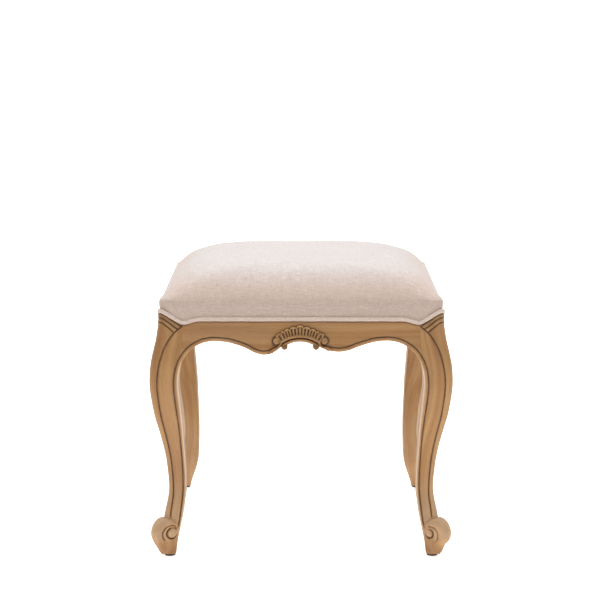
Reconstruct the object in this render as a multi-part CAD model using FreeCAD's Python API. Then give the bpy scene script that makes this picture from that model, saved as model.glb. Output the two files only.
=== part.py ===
import FreeCAD, Part
import math
import os
from FreeCAD import Vector as V

# ---------------------------------------------------------------- dimensions
# Dressing stool, millimetres.  +Z up, +X to the sitter's right seen from the
# front, the front faces -Y.  Origin on the floor under the middle of the seat.
# "a" is a distance inwards from the knee planes |X| = HALF_W and |Y| = HALF_D.
HALF_W = 246.0            # knee planes, left and right
HALF_D = 215.0            # knee planes, front and rear
TOP_Z = 480.0             # crown of the cushion
RAIL_TOP = 398.0          # top of the rails
RAIL_DIP = 394.5          # the rails' top where it runs down to the leg joints
POST_A = 54.0             # joint between leg and rail, inwards from the knee plane
RAIL_BACK_A = 40.0        # flat back of the rails
EAR_SLOPE = 0.5           # rise of the sloping leg top
EAR_SUM = 69.0            # a_x + a_y where the slope meets RAIL_DIP
LEG_FOOT_Z = 3.2          # underside of the wooden foot, above its glide
FOOT_A = 28.0             # middle of the foot's base
SCROLL_A = 23.4           # middle of the foot scroll
SCROLL_Z = 44.5
SCROLL_R = 19.6
SCROLL_LEN = 30.0
EYE_R = 8.5
EYE_H = 2.4
DOWEL_D = 8.0
DOWEL_IN_LEG = 19.0
DOWEL_IN_RAIL = 18.0
DOWEL_Z = (366.0, 384.0)
DOWEL_A = 27.0
PIPING_R = 3.5
PIPING_A = 17.0
BOARD_T = 15.0
COVER_T = 1.5
WADDING_T = 8.0
BOARD_A = 23.0            # edge of the seat board
BOARD_Z = RAIL_TOP + COVER_T + 0.1
BLOCK_Z0, BLOCK_Z1 = 363.0, 396.4
BLOCK_LEG = 100.0         # a of the corner block's far points
SHELL_PROUD = 6.0
DUST_Z0, DUST_Z1 = 396.8, 397.9

# outer face of leg and rail, (z, a): an S curve from the seat over the knee to
# the ankle and out again to the foot
OUTER = [(440, 15.4), (415, 15.2), (400, 14.9), (390, 14.1), (374, 11.8), (364, 10.0),
         (355, 7.7), (345, 5.3), (336, 3.4), (326, 1.7), (317, 0.7), (307, 0.2),
         (297, 0.0), (287, 0.4), (276, 1.5), (266, 2.9), (256, 4.3), (245, 6.2),
         (234, 8.6), (224, 11.2), (213, 13.9), (202, 16.5), (191, 19.0), (180, 21.1),
         (169, 23.0), (159, 24.4), (148, 25.5), (137, 26.5), (127, 27.3), (116, 27.5),
         (106, 27.0), (96, 25.4), (87, 23.3), (77, 21.0), (66, 19.0), (55, 17.6),
         (44, 16.0), (33, 13.6), (24, 12.2), (14, 13.4), (8, 15.2), (3, 17.2)]
# inner faces of the leg, (z, a)
INNER = [(440, 54.0), (345, 54.0), (337, 54.0), (331, 52.6), (325, 50.6), (317, 48.8),
         (307, 47.6), (297, 47.3), (287, 47.7), (277, 48.6), (267, 49.6), (254, 50.6),
         (237, 51.8), (220, 52.7), (204, 53.4), (187, 54.1), (170, 54.9), (153, 55.6),
         (136, 56.2), (119, 56.3), (105, 55.5), (95, 54.3), (85, 52.9), (74, 51.3),
         (64, 49.6), (54, 47.6), (43, 45.2), (33, 42.9), (23, 40.9), (12, 39.4), (3, 38.6)]
# lower edge of the rails, (distance from the middle, z)
FRONT_EDGE = [(0, 366.6), (10, 366.0), (20, 363.5), (30, 358.5), (40, 352.7), (50, 348.6),
              (60, 347.6), (75, 350.3), (90, 356.6), (105, 361.6), (122, 365.8), (140, 367.0),
              (156, 364.6), (170, 358.4), (180, 350.8), (187, 342.8), (192, 334.0)]
REAR_EDGE = [(0, 355.0), (12, 354.2), (26, 351.8), (42, 349.0), (58, 348.0), (75, 350.3),
             (90, 356.6), (105, 361.6), (122, 365.8), (140, 367.0), (156, 364.6),
             (170, 358.4), (180, 350.8), (187, 342.8), (192, 334.0)]
SIDE_EDGE = [(0, 354.6), (10, 353.9), (22, 351.6), (36, 348.9), (49, 348.2), (62, 350.8),
             (76, 357.2), (92, 363.6), (109, 367.0), (125, 364.6), (139, 358.4),
             (149, 350.8), (156, 342.8), (161, 334.0)]
# side of the cushion, (a, z)
CUSHION = [(21.0, 398.0), (20.6, 404.0), (18.6, 409.0), (16.8, 415.0), (16.2, 422.0),
           (16.6, 429.0), (18.4, 437.0), (21.8, 445.0), (26.8, 452.5), (34.0, 459.8),
           (43.5, 466.2), (56.0, 471.4), (72.0, 475.2), (92.0, 477.8), (115.0, 479.3),
           (142.0, TOP_Z)]


def at(table, z):
    """The table's value at z, straight between its points."""
    pts = sorted(table)
    if z <= pts[0][0]:
        return pts[0][1]
    for (z0, v0), (z1, v1) in zip(pts, pts[1:]):
        if z <= z1:
            return v0 + (v1 - v0) * (z - z0) / (z1 - z0)
    return pts[-1][1]


def spline(points):
    curve = Part.BSplineCurve()
    curve.interpolate(points)
    return curve.toShape()


def box(x0, y0, z0, x1, y1, z1):
    return Part.makeBox(x1 - x0, y1 - y0, z1 - z0, V(x0, y0, z0))


def prism(points, z0, z1):
    """A polygon in plan, drawn up from z0 to z1."""
    face = Part.Face(Part.makePolygon([V(x, y, z0) for x, y in points + points[:1]]))
    return face.extrude(V(0, 0, z1 - z0))


def corner(ax, ay, z):
    """A point of the front left corner from its distances inwards."""
    return V(-HALF_W + ax, -HALF_D + ay, z)


def rounded(x0, y0, x1, y1, z, radii):
    """A rounded rectangle; radii at (x0,y0), (x1,y0), (x1,y1), (x0,y1)."""
    r0, r1, r2, r3 = radii
    c = math.sqrt(0.5)

    def arc(p, m, q):
        return Part.Arc(V(*p, z), V(*m, z), V(*q, z)).toShape()

    def line(p, q):
        return Part.LineSegment(V(*p, z), V(*q, z)).toShape()
    return Part.Wire([
        line((x0 + r0, y0), (x1 - r1, y0)),
        arc((x1 - r1, y0), (x1 - r1 + r1 * c, y0 + r1 - r1 * c), (x1, y0 + r1)),
        line((x1, y0 + r1), (x1, y1 - r2)),
        arc((x1, y1 - r2), (x1 - r2 + r2 * c, y1 - r2 + r2 * c), (x1 - r2, y1)),
        line((x1 - r2, y1), (x0 + r3, y1)),
        arc((x0 + r3, y1), (x0 + r3 - r3 * c, y1 - r3 + r3 * c), (x0, y1 - r3)),
        line((x0, y1 - r3), (x0, y0 + r0)),
        arc((x0, y0 + r0), (x0 + r0 - r0 * c, y0 + r0 - r0 * c), (x0 + r0, y0))])


def four(shape):
    """The front left shape and its mirror images at the other corners."""
    right = shape.mirror(V(0, 0, 0), V(1, 0, 0))
    return {"front_left": shape, "front_right": right,
            "rear_left": shape.mirror(V(0, 0, 0), V(0, 1, 0)),
            "rear_right": right.mirror(V(0, 0, 0), V(0, 1, 0))}


def group(solids):
    return Part.makeCompound(list(solids))


out = {}

# ---------------------------------------------------------------- leg
levels = [3.2, 8, 14, 24, 33, 44, 55, 66, 77, 87, 96, 106, 116, 127, 148, 169, 191, 213,
          234, 256, 276, 297, 317, 326, 336]
sections = []
for z in levels:
    o, i = at(OUTER, z), at(INNER, z)
    w = i - o
    tight = min(12.0, 0.30 * w) if z > 70 else 0.38 * w
    soft = min(5.0, 0.14 * w) if z > 70 else 0.30 * w
    p, q = corner(o, o, z), corner(i, i, z)
    sections.append(rounded(p.x, p.y, q.x, q.y, z, (tight, soft, soft, soft)))
lower = Part.makeLoft(sections, True, False)
post = []
for z in (336, 345, 355, 364, 374, 384, 394, 404, 414, 424):
    o = at(OUTER, z)
    p, q = corner(o, o, z), corner(POST_A, POST_A, z)
    soft = min(5.0, 0.14 * (POST_A - o))
    post.append(rounded(p.x, p.y, q.x, q.y, z, (12.0, soft, soft, soft)))
upper = Part.makeLoft(post, True, False)
# the top: flat behind, and one plane that rises to the outer corner
ear = Part.Face(Part.makePolygon([
    V(0, 0, RAIL_DIP), V(200, 0, RAIL_DIP), V(200, 0, 600), V(-200, 0, 600),
    V(-200, 0, RAIL_DIP + 200 * EAR_SLOPE * math.sqrt(2)), V(0, 0, RAIL_DIP)])).extrude(V(0, 400, 0))
ear.translate(V(0, -200, 0))
ear.rotate(V(0, 0, 0), V(0, 0, 1), 45)
ear.translate(corner(EAR_SUM / 2, EAR_SUM / 2, 0))
upper = upper.cut(ear)
leg = lower.fuse(upper)
# the scroll of the foot, across the diagonal, with its round eyes
axis = V(1, -1, 0).normalize()
mid = corner(SCROLL_A, SCROLL_A, SCROLL_Z)
roll = Part.makeCylinder(SCROLL_R, SCROLL_LEN, mid - axis * (SCROLL_LEN / 2), axis)
eyes = Part.makeCylinder(EYE_R, SCROLL_LEN + 2 * EYE_H, mid - axis * (SCROLL_LEN / 2 + EYE_H), axis)
leg = leg.fuse(roll).fuse(eyes)
# dowel holes from both rails, and the hole of the glide's nail
for z in DOWEL_Z:
    leg = leg.cut(Part.makeCylinder(DOWEL_D / 2, DOWEL_IN_LEG + 2, corner(POST_A - DOWEL_IN_LEG - 1, DOWEL_A, z) , V(1, 0, 0)))
    leg = leg.cut(Part.makeCylinder(DOWEL_D / 2, DOWEL_IN_LEG + 2, corner(DOWEL_A, POST_A - DOWEL_IN_LEG - 1, z), V(0, 1, 0)))
NAIL_R, NAIL_LEN = 1.25, 16.0
leg = leg.cut(Part.makeCylinder(NAIL_R, NAIL_LEN + 1, corner(FOOT_A, FOOT_A, LEG_FOOT_Z - 0.5), V(0, 0, 1)))
for name, shape in four(leg).items():
    out[name + "_leg"] = shape

# ---------------------------------------------------------------- rails
def rail(edge, half, knee, back_a):
    """A rail along X: the leg's profile in front, flat behind, shaped below."""
    zs = [325, 336, 345, 355, 364, 374, 390, 400]
    front = spline([V(-half, -knee + at(OUTER, z), z) for z in zs])
    y0 = -knee + back_a
    a, b = front.Vertexes[0].Point, front.Vertexes[-1].Point
    profile = Part.Wire([front,
                         Part.LineSegment(b, V(-half, y0, 400)).toShape(),
                         Part.LineSegment(V(-half, y0, 400), V(-half, y0, 325)).toShape(),
                         Part.LineSegment(V(-half, y0, 325), a).toShape()])
    blank = Part.Face(profile).extrude(V(2 * half, 0, 0))
    pts = [V(-x, -knee - 10, z) for x, z in reversed(edge)] + [V(x, -knee - 10, z) for x, z in edge[1:]]
    low = spline(pts)
    run = 26.0
    top = [V(half, -knee - 10, RAIL_DIP), V(half - run, -knee - 10, RAIL_TOP),
           V(-half + run, -knee - 10, RAIL_TOP), V(-half, -knee - 10, RAIL_DIP)]
    lines = [Part.LineSegment(p, q).toShape() for p, q in zip([pts[-1]] + top, top + [pts[0]])]
    plate = Part.Face(Part.Wire([low] + lines)).extrude(V(0, back_a + 30, 0))
    piece = blank.common(plate)
    for z in DOWEL_Z:
        for s in (-1, 1):
            end = V(s * half, -knee + DOWEL_A, z)
            piece = piece.cut(Part.makeCylinder(DOWEL_D / 2, DOWEL_IN_RAIL + 1, end, V(-s, 0, 0)))
    return piece, blank


half_front = HALF_W - POST_A
half_side = HALF_D - POST_A
front_rail, front_blank = rail(FRONT_EDGE, half_front, HALF_D, RAIL_BACK_A)
rear_rail = rail(REAR_EDGE, half_front, HALF_D, RAIL_BACK_A)[0].mirror(V(0, 0, 0), V(0, 1, 0))
side = rail(SIDE_EDGE, half_side, HALF_W, RAIL_BACK_A)[0]
left_rail = side.copy()
left_rail.rotate(V(0, 0, 0), V(0, 0, 1), -90)
right_rail = left_rail.mirror(V(0, 0, 0), V(1, 0, 0))

dowels = []
for z in DOWEL_Z:
    length = DOWEL_IN_LEG + DOWEL_IN_RAIL
    dowels.append(Part.makeCylinder(DOWEL_D / 2 - 0.05, length, corner(POST_A - DOWEL_IN_LEG, DOWEL_A, z), V(1, 0, 0)))
    dowels.append(Part.makeCylinder(DOWEL_D / 2 - 0.05, length, corner(DOWEL_A, POST_A - DOWEL_IN_LEG, z), V(0, 1, 0)))
out["rail_dowels"] = group(s for d in dowels for s in four(d).values())

# ---------------------------------------------------------------- shell carving
# a fan with scalloped lobes over an arch, with a scroll at each end, glued to
# the middle of the front rail and following its bulge
fan = []
R_ARCH, ARCH_Z = 57.0, 366.4
lobes = []
N = 9
for k in range(N):
    t = (k - (N - 1) / 2) / ((N - 1) / 2)
    x = 34.0 * t
    z = 387.4 - 12.0 * t * t
    lobes.append((x, z, 5.4 - 0.6 * abs(t)))
centre = V(0, 0, ARCH_Z - R_ARCH)
outline = [Part.makeCylinder(r, 40, V(x, -HALF_D - 20, z), V(0, 1, 0)) for x, z, r in lobes]
body_pts = [(-39, 366), (-34, 372), (-24, 382), (-12, 387), (0, 388.5), (12, 387), (24, 382), (34, 372), (39, 366),
            (30, 361.5), (24, 363.6), (12, 366.2), (0, 367.0), (-12, 366.2), (-24, 363.6), (-30, 361.5)]
body = Part.Face(Part.makePolygon([V(x, -HALF_D - 20, z) for x, z in body_pts + body_pts[:1]])).extrude(V(0, 40, 0))
ends = [Part.makeCylinder(7.4, 40, V(s * 37.5, -HALF_D - 20, 367.5), V(0, 1, 0)) for s in (-1, 1)]
curls = [Part.makeCylinder(4.6, 40, V(s * 26.5, -HALF_D - 20, 356.6), V(0, 1, 0)) for s in (-1, 1)]
links = [Part.Face(Part.makePolygon([V(s * x, -HALF_D - 20, z) for x, z in
                                     [(22.6, 355.6), (30.6, 355.6), (34, 364), (22, 366), (22.6, 355.6)]])).extrude(V(0, 40, 0))
         for s in (-1, 1)]
flat = body.multiFuse(outline + ends + curls + links).removeSplitter()
proud = front_blank.copy()
proud.translate(V(0, -SHELL_PROUD, 0))
shell = flat.common(proud).cut(front_blank)
out["shell_carving"] = shell

# ---------------------------------------------------------------- corner blocks
g = 0.2
notch = [(POST_A + g, RAIL_BACK_A + g), (BLOCK_LEG, RAIL_BACK_A + g), (RAIL_BACK_A + g, BLOCK_LEG),
         (RAIL_BACK_A + g, POST_A + g), (POST_A + g, POST_A + g)]
block = prism([(corner(ax, ay, 0).x, corner(ax, ay, 0).y) for ax, ay in notch], BLOCK_Z0, BLOCK_Z1)
SCREW_R, HEAD_R, HEAD_H = 2.2, 4.2, 3.0
BLOCK_SCREW_A, BLOCK_SCREW_Z = 80.0, (372.0, 387.0)
screws, rail_pilots_x, rail_pilots_y = [], [], []
head_a = 56.0
for along, z in (("y", BLOCK_SCREW_Z[0]), ("x", BLOCK_SCREW_Z[1])):
    d = V(0, -1, 0) if along == "y" else V(-1, 0, 0)
    place = (lambda t: corner(BLOCK_SCREW_A, t, z)) if along == "y" else (lambda t: corner(t, BLOCK_SCREW_A, z))
    block = block.cut(Part.makeCylinder(HEAD_R + 0.6, 60, place(head_a), -d))
    block = block.cut(Part.makeCylinder(SCREW_R + 0.2, 60, place(head_a + 1), d))
    length = head_a - RAIL_BACK_A + 15.0
    screws.append(Part.makeCylinder(HEAD_R, HEAD_H, place(head_a), -d).fuse(
        Part.makeCylinder(SCREW_R, length, place(head_a), d)))
    pilot = Part.makeCylinder(SCREW_R + 0.05, 16.0, place(RAIL_BACK_A + 0.5), d)
    (rail_pilots_y if along == "y" else rail_pilots_x).append(pilot)
SEAT_SCREW_A = 63.0
SEAT_SCREW_Z0, SEAT_SCREW_Z1 = 367.0, 411.0
spot = corner(SEAT_SCREW_A, SEAT_SCREW_A, 0)
block = block.cut(Part.makeCylinder(HEAD_R + 0.8, SEAT_SCREW_Z0 - BLOCK_Z0 + HEAD_H + 1, V(spot.x, spot.y, BLOCK_Z0 - 1), V(0, 0, 1)))
block = block.cut(Part.makeCylinder(SCREW_R + 0.3, 60, V(spot.x, spot.y, BLOCK_Z0), V(0, 0, 1)))
seat_screw = Part.makeCylinder(HEAD_R, HEAD_H, V(spot.x, spot.y, SEAT_SCREW_Z0), V(0, 0, 1)).fuse(
    Part.makeCylinder(SCREW_R, SEAT_SCREW_Z1 - SEAT_SCREW_Z0, V(spot.x, spot.y, SEAT_SCREW_Z0), V(0, 0, 1)))
for name, shape in four(block).items():
    out[name + "_corner_block"] = shape
out["corner_block_screws"] = group(x for s in screws for x in four(s).values())
out["seat_screws"] = group(four(seat_screw).values())
pilots_y = [x for p in rail_pilots_y for x in four(p).values()]
pilots_x = [x for p in rail_pilots_x for x in four(p).values()]
out["front_rail"] = front_rail.cut(pilots_y)
out["rear_rail"] = rear_rail.cut(pilots_y)
out["left_rail"] = left_rail.cut(pilots_x)
out["right_rail"] = right_rail.cut(pilots_x)

# ---------------------------------------------------------------- upholstered seat
def offset_profile(profile, d):
    """The cushion's side curve moved inwards by d along its normal."""
    moved = []
    for k, (a, z) in enumerate(profile):
        a0, z0 = profile[max(k - 1, 0)]
        a1, z1 = profile[min(k + 1, len(profile) - 1)]
        da, dz = a1 - a0, z1 - z0
        n = math.hypot(da, dz)
        moved.append((a + d * dz / n, z - d * da / n))
    return moved


def pad(profile):
    """A closed solid with that side curve all round, rounder towards the top."""
    wires = []
    for a, z in profile:
        r = min(20.0 + 0.55 * max(0.0, a - 16.0), 0.80 * (HALF_D - a))
        wires.append(rounded(-HALF_W + a, -HALF_D + a, HALF_W - a, HALF_D - a, z, (r,) * 4))
    return Part.makeLoft(wires, True, False)


# what the sloping leg tops and the piping on them take from the cushion's corners
lift = 8.2
relief = Part.Face(Part.makePolygon([
    V(60, 0, 300), V(60, 0, RAIL_DIP + lift - 60 * EAR_SLOPE * math.sqrt(2)),
    V(-60, 0, RAIL_DIP + lift + 60 * EAR_SLOPE * math.sqrt(2)), V(-60, 0, 300), V(60, 0, 300)])).extrude(V(0, 400, 0))
relief.translate(V(0, -200, 0))
relief.rotate(V(0, 0, 0), V(0, 0, 1), 45)
relief.translate(corner(EAR_SUM / 2, EAR_SUM / 2, 0))
reliefs = list(four(relief).values())

outer = pad(CUSHION)
inner_profile = offset_profile(CUSHION, COVER_T)
inner_profile[0] = (CUSHION[0][0] + COVER_T, RAIL_TOP + COVER_T)
inner = pad(inner_profile)
lining_profile = offset_profile(CUSHION, COVER_T + 0.15)
lining = pad([p for p in lining_profile if p[1] > BOARD_Z + BOARD_T - 3])
foam_profile = [p for p in offset_profile(CUSHION, COVER_T + 0.15 + WADDING_T) if p[1] > BOARD_Z + BOARD_T - 3]
foam = pad([(foam_profile[0][0], BOARD_Z + BOARD_T - 4)] + foam_profile)
above = box(-300, -300, BOARD_Z + BOARD_T + 0.1, 300, 300, 600)
FLANGE_A = 53.0
opening = box(-HALF_W + FLANGE_A, -HALF_D + FLANGE_A, 380, HALF_W - FLANGE_A, HALF_D - FLANGE_A, BOARD_Z + 2)
cover = outer.cut(inner).cut(opening).cut(reliefs)
foam = foam.common(above)
wadding = lining.common(above).cut(foam).cut(reliefs)

b = BOARD_A
c = 66.0 - b
x, y = HALF_W, HALF_D
plan = [(-x + c, -y + b), (x - c, -y + b), (x - b, -y + c), (x - b, y - c),
        (x - c, y - b), (-x + c, y - b), (-x + b, y - c), (-x + b, -y + c)]
board = prism(plan, BOARD_Z, BOARD_Z + BOARD_T)
seat_holes = list(four(Part.makeCylinder(SCREW_R + 0.05, SEAT_SCREW_Z1 - 380, V(spot.x, spot.y, 380.5), V(0, 0, 1))).values())
board = board.cut(seat_holes)

DUST_A = 43.0
dx, dy, dc = HALF_W - DUST_A, HALF_D - DUST_A, 44.0
dust = prism([(-dx + dc, -dy), (dx - dc, -dy), (dx, -dy + dc), (dx, dy - dc),
              (dx - dc, dy), (-dx + dc, dy), (-dx, dy - dc), (-dx, -dy + dc)], DUST_Z0, DUST_Z1).cut(seat_holes)

# staples through lining and cover into the board
def staple(px, py, turned):
    w, t, up = 5.0, 0.6, 10.0
    z0 = DUST_Z0 - 0.65
    s = box(-w, -0.5, z0, w, 0.5, z0 + t).fuse(
        [box(-w, -0.5, z0, -w + t, 0.5, z0 + up), box(w - t, -0.5, z0, w, 0.5, z0 + up)])
    if turned:
        s.rotate(V(0, 0, 0), V(0, 0, 1), 90)
    s.translate(V(px, py, 0))
    return s


STAPLE_A = 47.0
staples = []
for k in range(9):
    px = -136.0 + 34.0 * k
    for s in (-1, 1):
        staples.append(staple(px, s * (HALF_D - STAPLE_A), False))
for k in range(7):
    py = -105.0 + 35.0 * k
    for s in (-1, 1):
        staples.append(staple(s * (HALF_W - STAPLE_A), py, True))
out["cover_staples"] = group(staples)
board = board.cut(staples)
dust = dust.cut(staples)
cover = cover.cut(staples)
out["seat_board"] = board
out["dust_cover"] = dust
out["linen_cover"] = cover
out["wadding"] = wadding
out["foam_pad"] = foam

# ---------------------------------------------------------------- piping
# one closed cord round the foot of the cushion, rising over the leg tops
zr = RAIL_TOP + PIPING_R + 0.1
k = math.sqrt(1 + 2 * EAR_SLOPE ** 2)
low_z = RAIL_DIP + PIPING_R * k + 0.2 + EAR_SLOPE * (EAR_SUM - (50.0 + PIPING_A))
apex_a = PIPING_A - 2.0
apex_z = RAIL_DIP + PIPING_R * k + 0.2 + EAR_SLOPE * (EAR_SUM - (apex_a + PIPING_A))
quarter = [corner(HALF_W, PIPING_A, zr), corner(78.0, PIPING_A, zr), corner(50.0, PIPING_A, low_z + 0.8),
           corner(apex_a, apex_a, apex_z), corner(PIPING_A, 50.0, low_z + 0.8), corner(PIPING_A, 78.0, zr),
           corner(PIPING_A, HALF_D, zr)]
radii = {1: 60.0, 2: 28.0, 3: 10.0, 4: 28.0, 5: 60.0}
edges, here = [], quarter[0]
for n in range(1, len(quarter) - 1):
    p = quarter[n]
    d0 = (p - quarter[n - 1]).normalize()
    d1 = (quarter[n + 1] - p).normalize()
    turn = d0.getAngle(d1)
    reach = radii[n] * math.tan(turn / 2)
    s, e = p - d0 * reach, p + d1 * reach
    bis = (d1 - d0).normalize()
    m = p + bis * (radii[n] / math.cos(turn / 2) - radii[n])
    edges.append(Part.LineSegment(here, s).toShape())
    edges.append(Part.Arc(s, m, e).toShape())
    here = e
edges.append(Part.LineSegment(here, quarter[-1]).toShape())
path = Part.Wire(edges)
circle = Part.Wire(Part.makeCircle(PIPING_R, quarter[0], V(1, 0, 0)))
tube = path.makePipeShell([circle], True, False)
print("piping quarter", round(tube.Volume), "expected", round(math.pi * PIPING_R ** 2 * path.Length))
cord = list(four(tube).values())
piping = cord[0].multiFuse(cord[1:]).removeSplitter()
out["piping"] = piping

# ---------------------------------------------------------------- glides
glide = Part.makeCylinder(9.0, LEG_FOOT_Z, corner(FOOT_A, FOOT_A, 0), V(0, 0, 1)).fuse(
    Part.makeCylinder(NAIL_R - 0.05, NAIL_LEN, corner(FOOT_A, FOOT_A, LEG_FOOT_Z - 0.2), V(0, 0, 1)))
out["foot_glides"] = group(four(glide).values())

os.makedirs("parts", exist_ok=True)
for name, shape in out.items():
    if shape.ShapeType == "Compound" and len(shape.Solids) == 1:
        shape = shape.Solids[0]
    b = shape.BoundBox
    print("%-26s valid %s solids %2d vol %9.0f  z %.1f..%.1f  x %.1f..%.1f  y %.1f..%.1f" % (
        name, shape.isValid(), len(shape.Solids), shape.Volume, b.ZMin, b.ZMax, b.XMin, b.XMax, b.YMin, b.YMax))
    shape.exportStep("parts/%s.step" % name)
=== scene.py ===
import math
import bpy
import bmesh
import numpy as np
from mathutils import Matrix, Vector
from mathutils.kdtree import KDTree


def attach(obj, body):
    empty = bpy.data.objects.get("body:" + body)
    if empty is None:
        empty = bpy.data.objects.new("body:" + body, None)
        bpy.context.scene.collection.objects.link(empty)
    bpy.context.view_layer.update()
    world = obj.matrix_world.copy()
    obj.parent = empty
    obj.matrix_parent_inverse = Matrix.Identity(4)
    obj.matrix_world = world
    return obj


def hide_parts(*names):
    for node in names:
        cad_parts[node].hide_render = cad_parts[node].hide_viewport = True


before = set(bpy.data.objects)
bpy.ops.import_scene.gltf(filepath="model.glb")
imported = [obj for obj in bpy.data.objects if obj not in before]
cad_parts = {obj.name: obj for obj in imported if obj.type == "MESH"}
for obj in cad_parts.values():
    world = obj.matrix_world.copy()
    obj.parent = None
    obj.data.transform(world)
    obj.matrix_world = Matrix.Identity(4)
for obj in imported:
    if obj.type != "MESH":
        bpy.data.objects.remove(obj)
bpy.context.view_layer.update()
MM = 0.001

# ------------------------------------------------------------------ the stool's measures, mm
HALF_W, HALF_D = 246.0, 215.0          # knee planes; "a" is measured inwards from them
RAIL_TOP, RAIL_DIP = 398.0, 392.0
POST_A, RAIL_BACK_A = 54.0, 40.0
EAR_SLOPE, EAR_SUM = 0.6, 69.0
REED_Z, REED_SLOPE, REED_SUM = 416.4, 0.705, 30.9      # the reeds under the leg's top slope a little more
FOOT_Z = 3.2

OUTER = [(440, 15.4), (415, 15.2), (400, 14.9), (390, 14.1), (374, 11.8), (364, 10.0),
         (355, 7.7), (345, 5.3), (336, 3.4), (326, 1.7), (317, 0.7), (307, 0.2),
         (297, 0.0), (287, 0.4), (276, 1.5), (266, 2.9), (256, 4.3), (245, 6.2),
         (234, 8.6), (224, 11.2), (213, 13.9), (202, 16.5), (191, 19.0), (180, 21.1),
         (169, 23.0), (159, 24.4), (148, 25.5), (137, 26.5), (127, 27.3), (116, 27.5),
         (106, 27.0), (96, 25.4), (87, 23.3), (77, 21.0), (66, 19.0), (55, 18.0),
         (44, 17.6), (33, 17.2), (24, 17.0), (14, 16.9), (8, 17.0), (3, 17.4)]
INNER = [(440, 54.0), (345, 54.0), (337, 54.0), (331, 52.6), (325, 50.6), (317, 48.8),
         (307, 47.6), (297, 47.3), (287, 47.7), (277, 48.6), (267, 49.6), (254, 50.6),
         (237, 51.8), (220, 52.7), (204, 53.4), (187, 54.1), (170, 54.9), (153, 55.6),
         (136, 56.2), (119, 56.3), (105, 55.5), (95, 54.3), (85, 52.9), (74, 51.3),
         (64, 49.6), (54, 47.6), (43, 45.2), (33, 42.9), (23, 40.9), (12, 39.4), (3, 38.6)]
# where the groove beside the rounded corner runs, inwards from the outer face
CORNER_GROOVE = [(420, 80.0), (405, 64.0), (396, 50.0), (390.5, 40.6), (385.5, 33.6), (379.5, 28.0), (370, 22.2), (358, 17.9), (347, 15.9),
                 (335, 14.9), (318, 13.8), (299, 13.2), (281, 12.9), (262, 12.6), (244, 11.9),
                 (210, 10.5), (186, 9.5), (160, 8.8), (134, 8.1), (118, 7.8), (100, 8.6),
                 (85, 9.5), (74, 10.4), (66, 11.0), (50, 11.4), (3, 11.4)]
# width of the bead along the leg's inner edges
BEAD = [(440, 6.2), (340, 6.2), (310, 7.0), (285, 7.4), (262, 7.2), (240, 6.3), (215, 5.2),
        (190, 4.8), (150, 4.6), (110, 4.8), (80, 4.4), (60, 4.0), (3, 3.6)]
FRONT_EDGE = [(0, 366.6), (10, 366.0), (20, 363.5), (30, 358.5), (40, 352.7), (50, 348.6),
              (60, 347.6), (75, 350.3), (90, 356.6), (105, 361.6), (122, 365.8), (140, 367.0),
              (156, 364.6), (170, 358.4), (180, 350.8), (187, 342.8), (192, 334.0)]
REAR_EDGE = [(0, 355.0), (12, 354.2), (26, 351.8), (42, 349.0), (58, 348.0), (75, 350.3),
             (90, 356.6), (105, 361.6), (122, 365.8), (140, 367.0), (156, 364.6),
             (170, 358.4), (180, 350.8), (187, 342.8), (192, 334.0)]
SIDE_EDGE = [(0, 354.6), (10, 353.9), (22, 351.6), (36, 348.9), (49, 348.2), (62, 350.8),
             (76, 357.2), (92, 363.6), (109, 367.0), (125, 364.6), (139, 358.4),
             (149, 350.8), (156, 342.8), (161, 334.0)]


def curve(table, smooth=0.0, step=0.5):
    """A smooth function through a table of (position, value)."""
    pts = sorted(table)
    x = np.array([p[0] for p in pts], float)
    y = np.array([p[1] for p in pts], float)
    h = np.diff(x)
    d = np.diff(y) / h
    m = np.zeros_like(y)
    for k in range(1, len(x) - 1):
        if d[k - 1] * d[k] > 0:
            w1, w2 = 2 * h[k] + h[k - 1], h[k] + 2 * h[k - 1]
            m[k] = (w1 + w2) / (w1 / d[k - 1] + w2 / d[k])
    m[0], m[-1] = d[0], d[-1]
    gx = np.arange(x[0], x[-1] + step / 2, step)
    k = np.clip(np.searchsorted(x, gx, side="right") - 1, 0, len(h) - 1)
    t = (gx - x[k]) / h[k]
    gy = ((1 + 2 * t) * (1 - t) ** 2 * y[k] + t * (1 - t) ** 2 * h[k] * m[k]
          + t * t * (3 - 2 * t) * y[k + 1] + t * t * (t - 1) * h[k] * m[k + 1])
    if smooth:
        n = int(4 * smooth / step)
        w = np.exp(-0.5 * (np.arange(-n, n + 1) * step / smooth) ** 2)
        w /= w.sum()
        head = 2 * gy[0] - gy[1:n + 1][::-1]
        tail = 2 * gy[-1] - gy[-n - 1:-1][::-1]
        gy = np.convolve(np.concatenate([head, gy, tail]), w, mode="valid")
    return lambda v: np.interp(v, gx, gy)


f_out = curve(OUTER, 5.0)
f_in = curve(INNER, 3.0)
f_groove = curve(CORNER_GROOVE, 3.0)
f_bead = curve(BEAD, 6.0)


def smooth01(t):
    t = np.clip(t, 0.0, 1.0)
    return t * t * (3 - 2 * t)


def ear_top(ax, ay):
    return RAIL_DIP + EAR_SLOPE * np.maximum(0.0, EAR_SUM - ax - ay)


def edge_curve(edge):
    """Lower edge of a rail, even about its middle."""
    both = [(-x, z) for x, z in edge if x > 0] + list(edge)
    return curve(both, 1.5)


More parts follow.
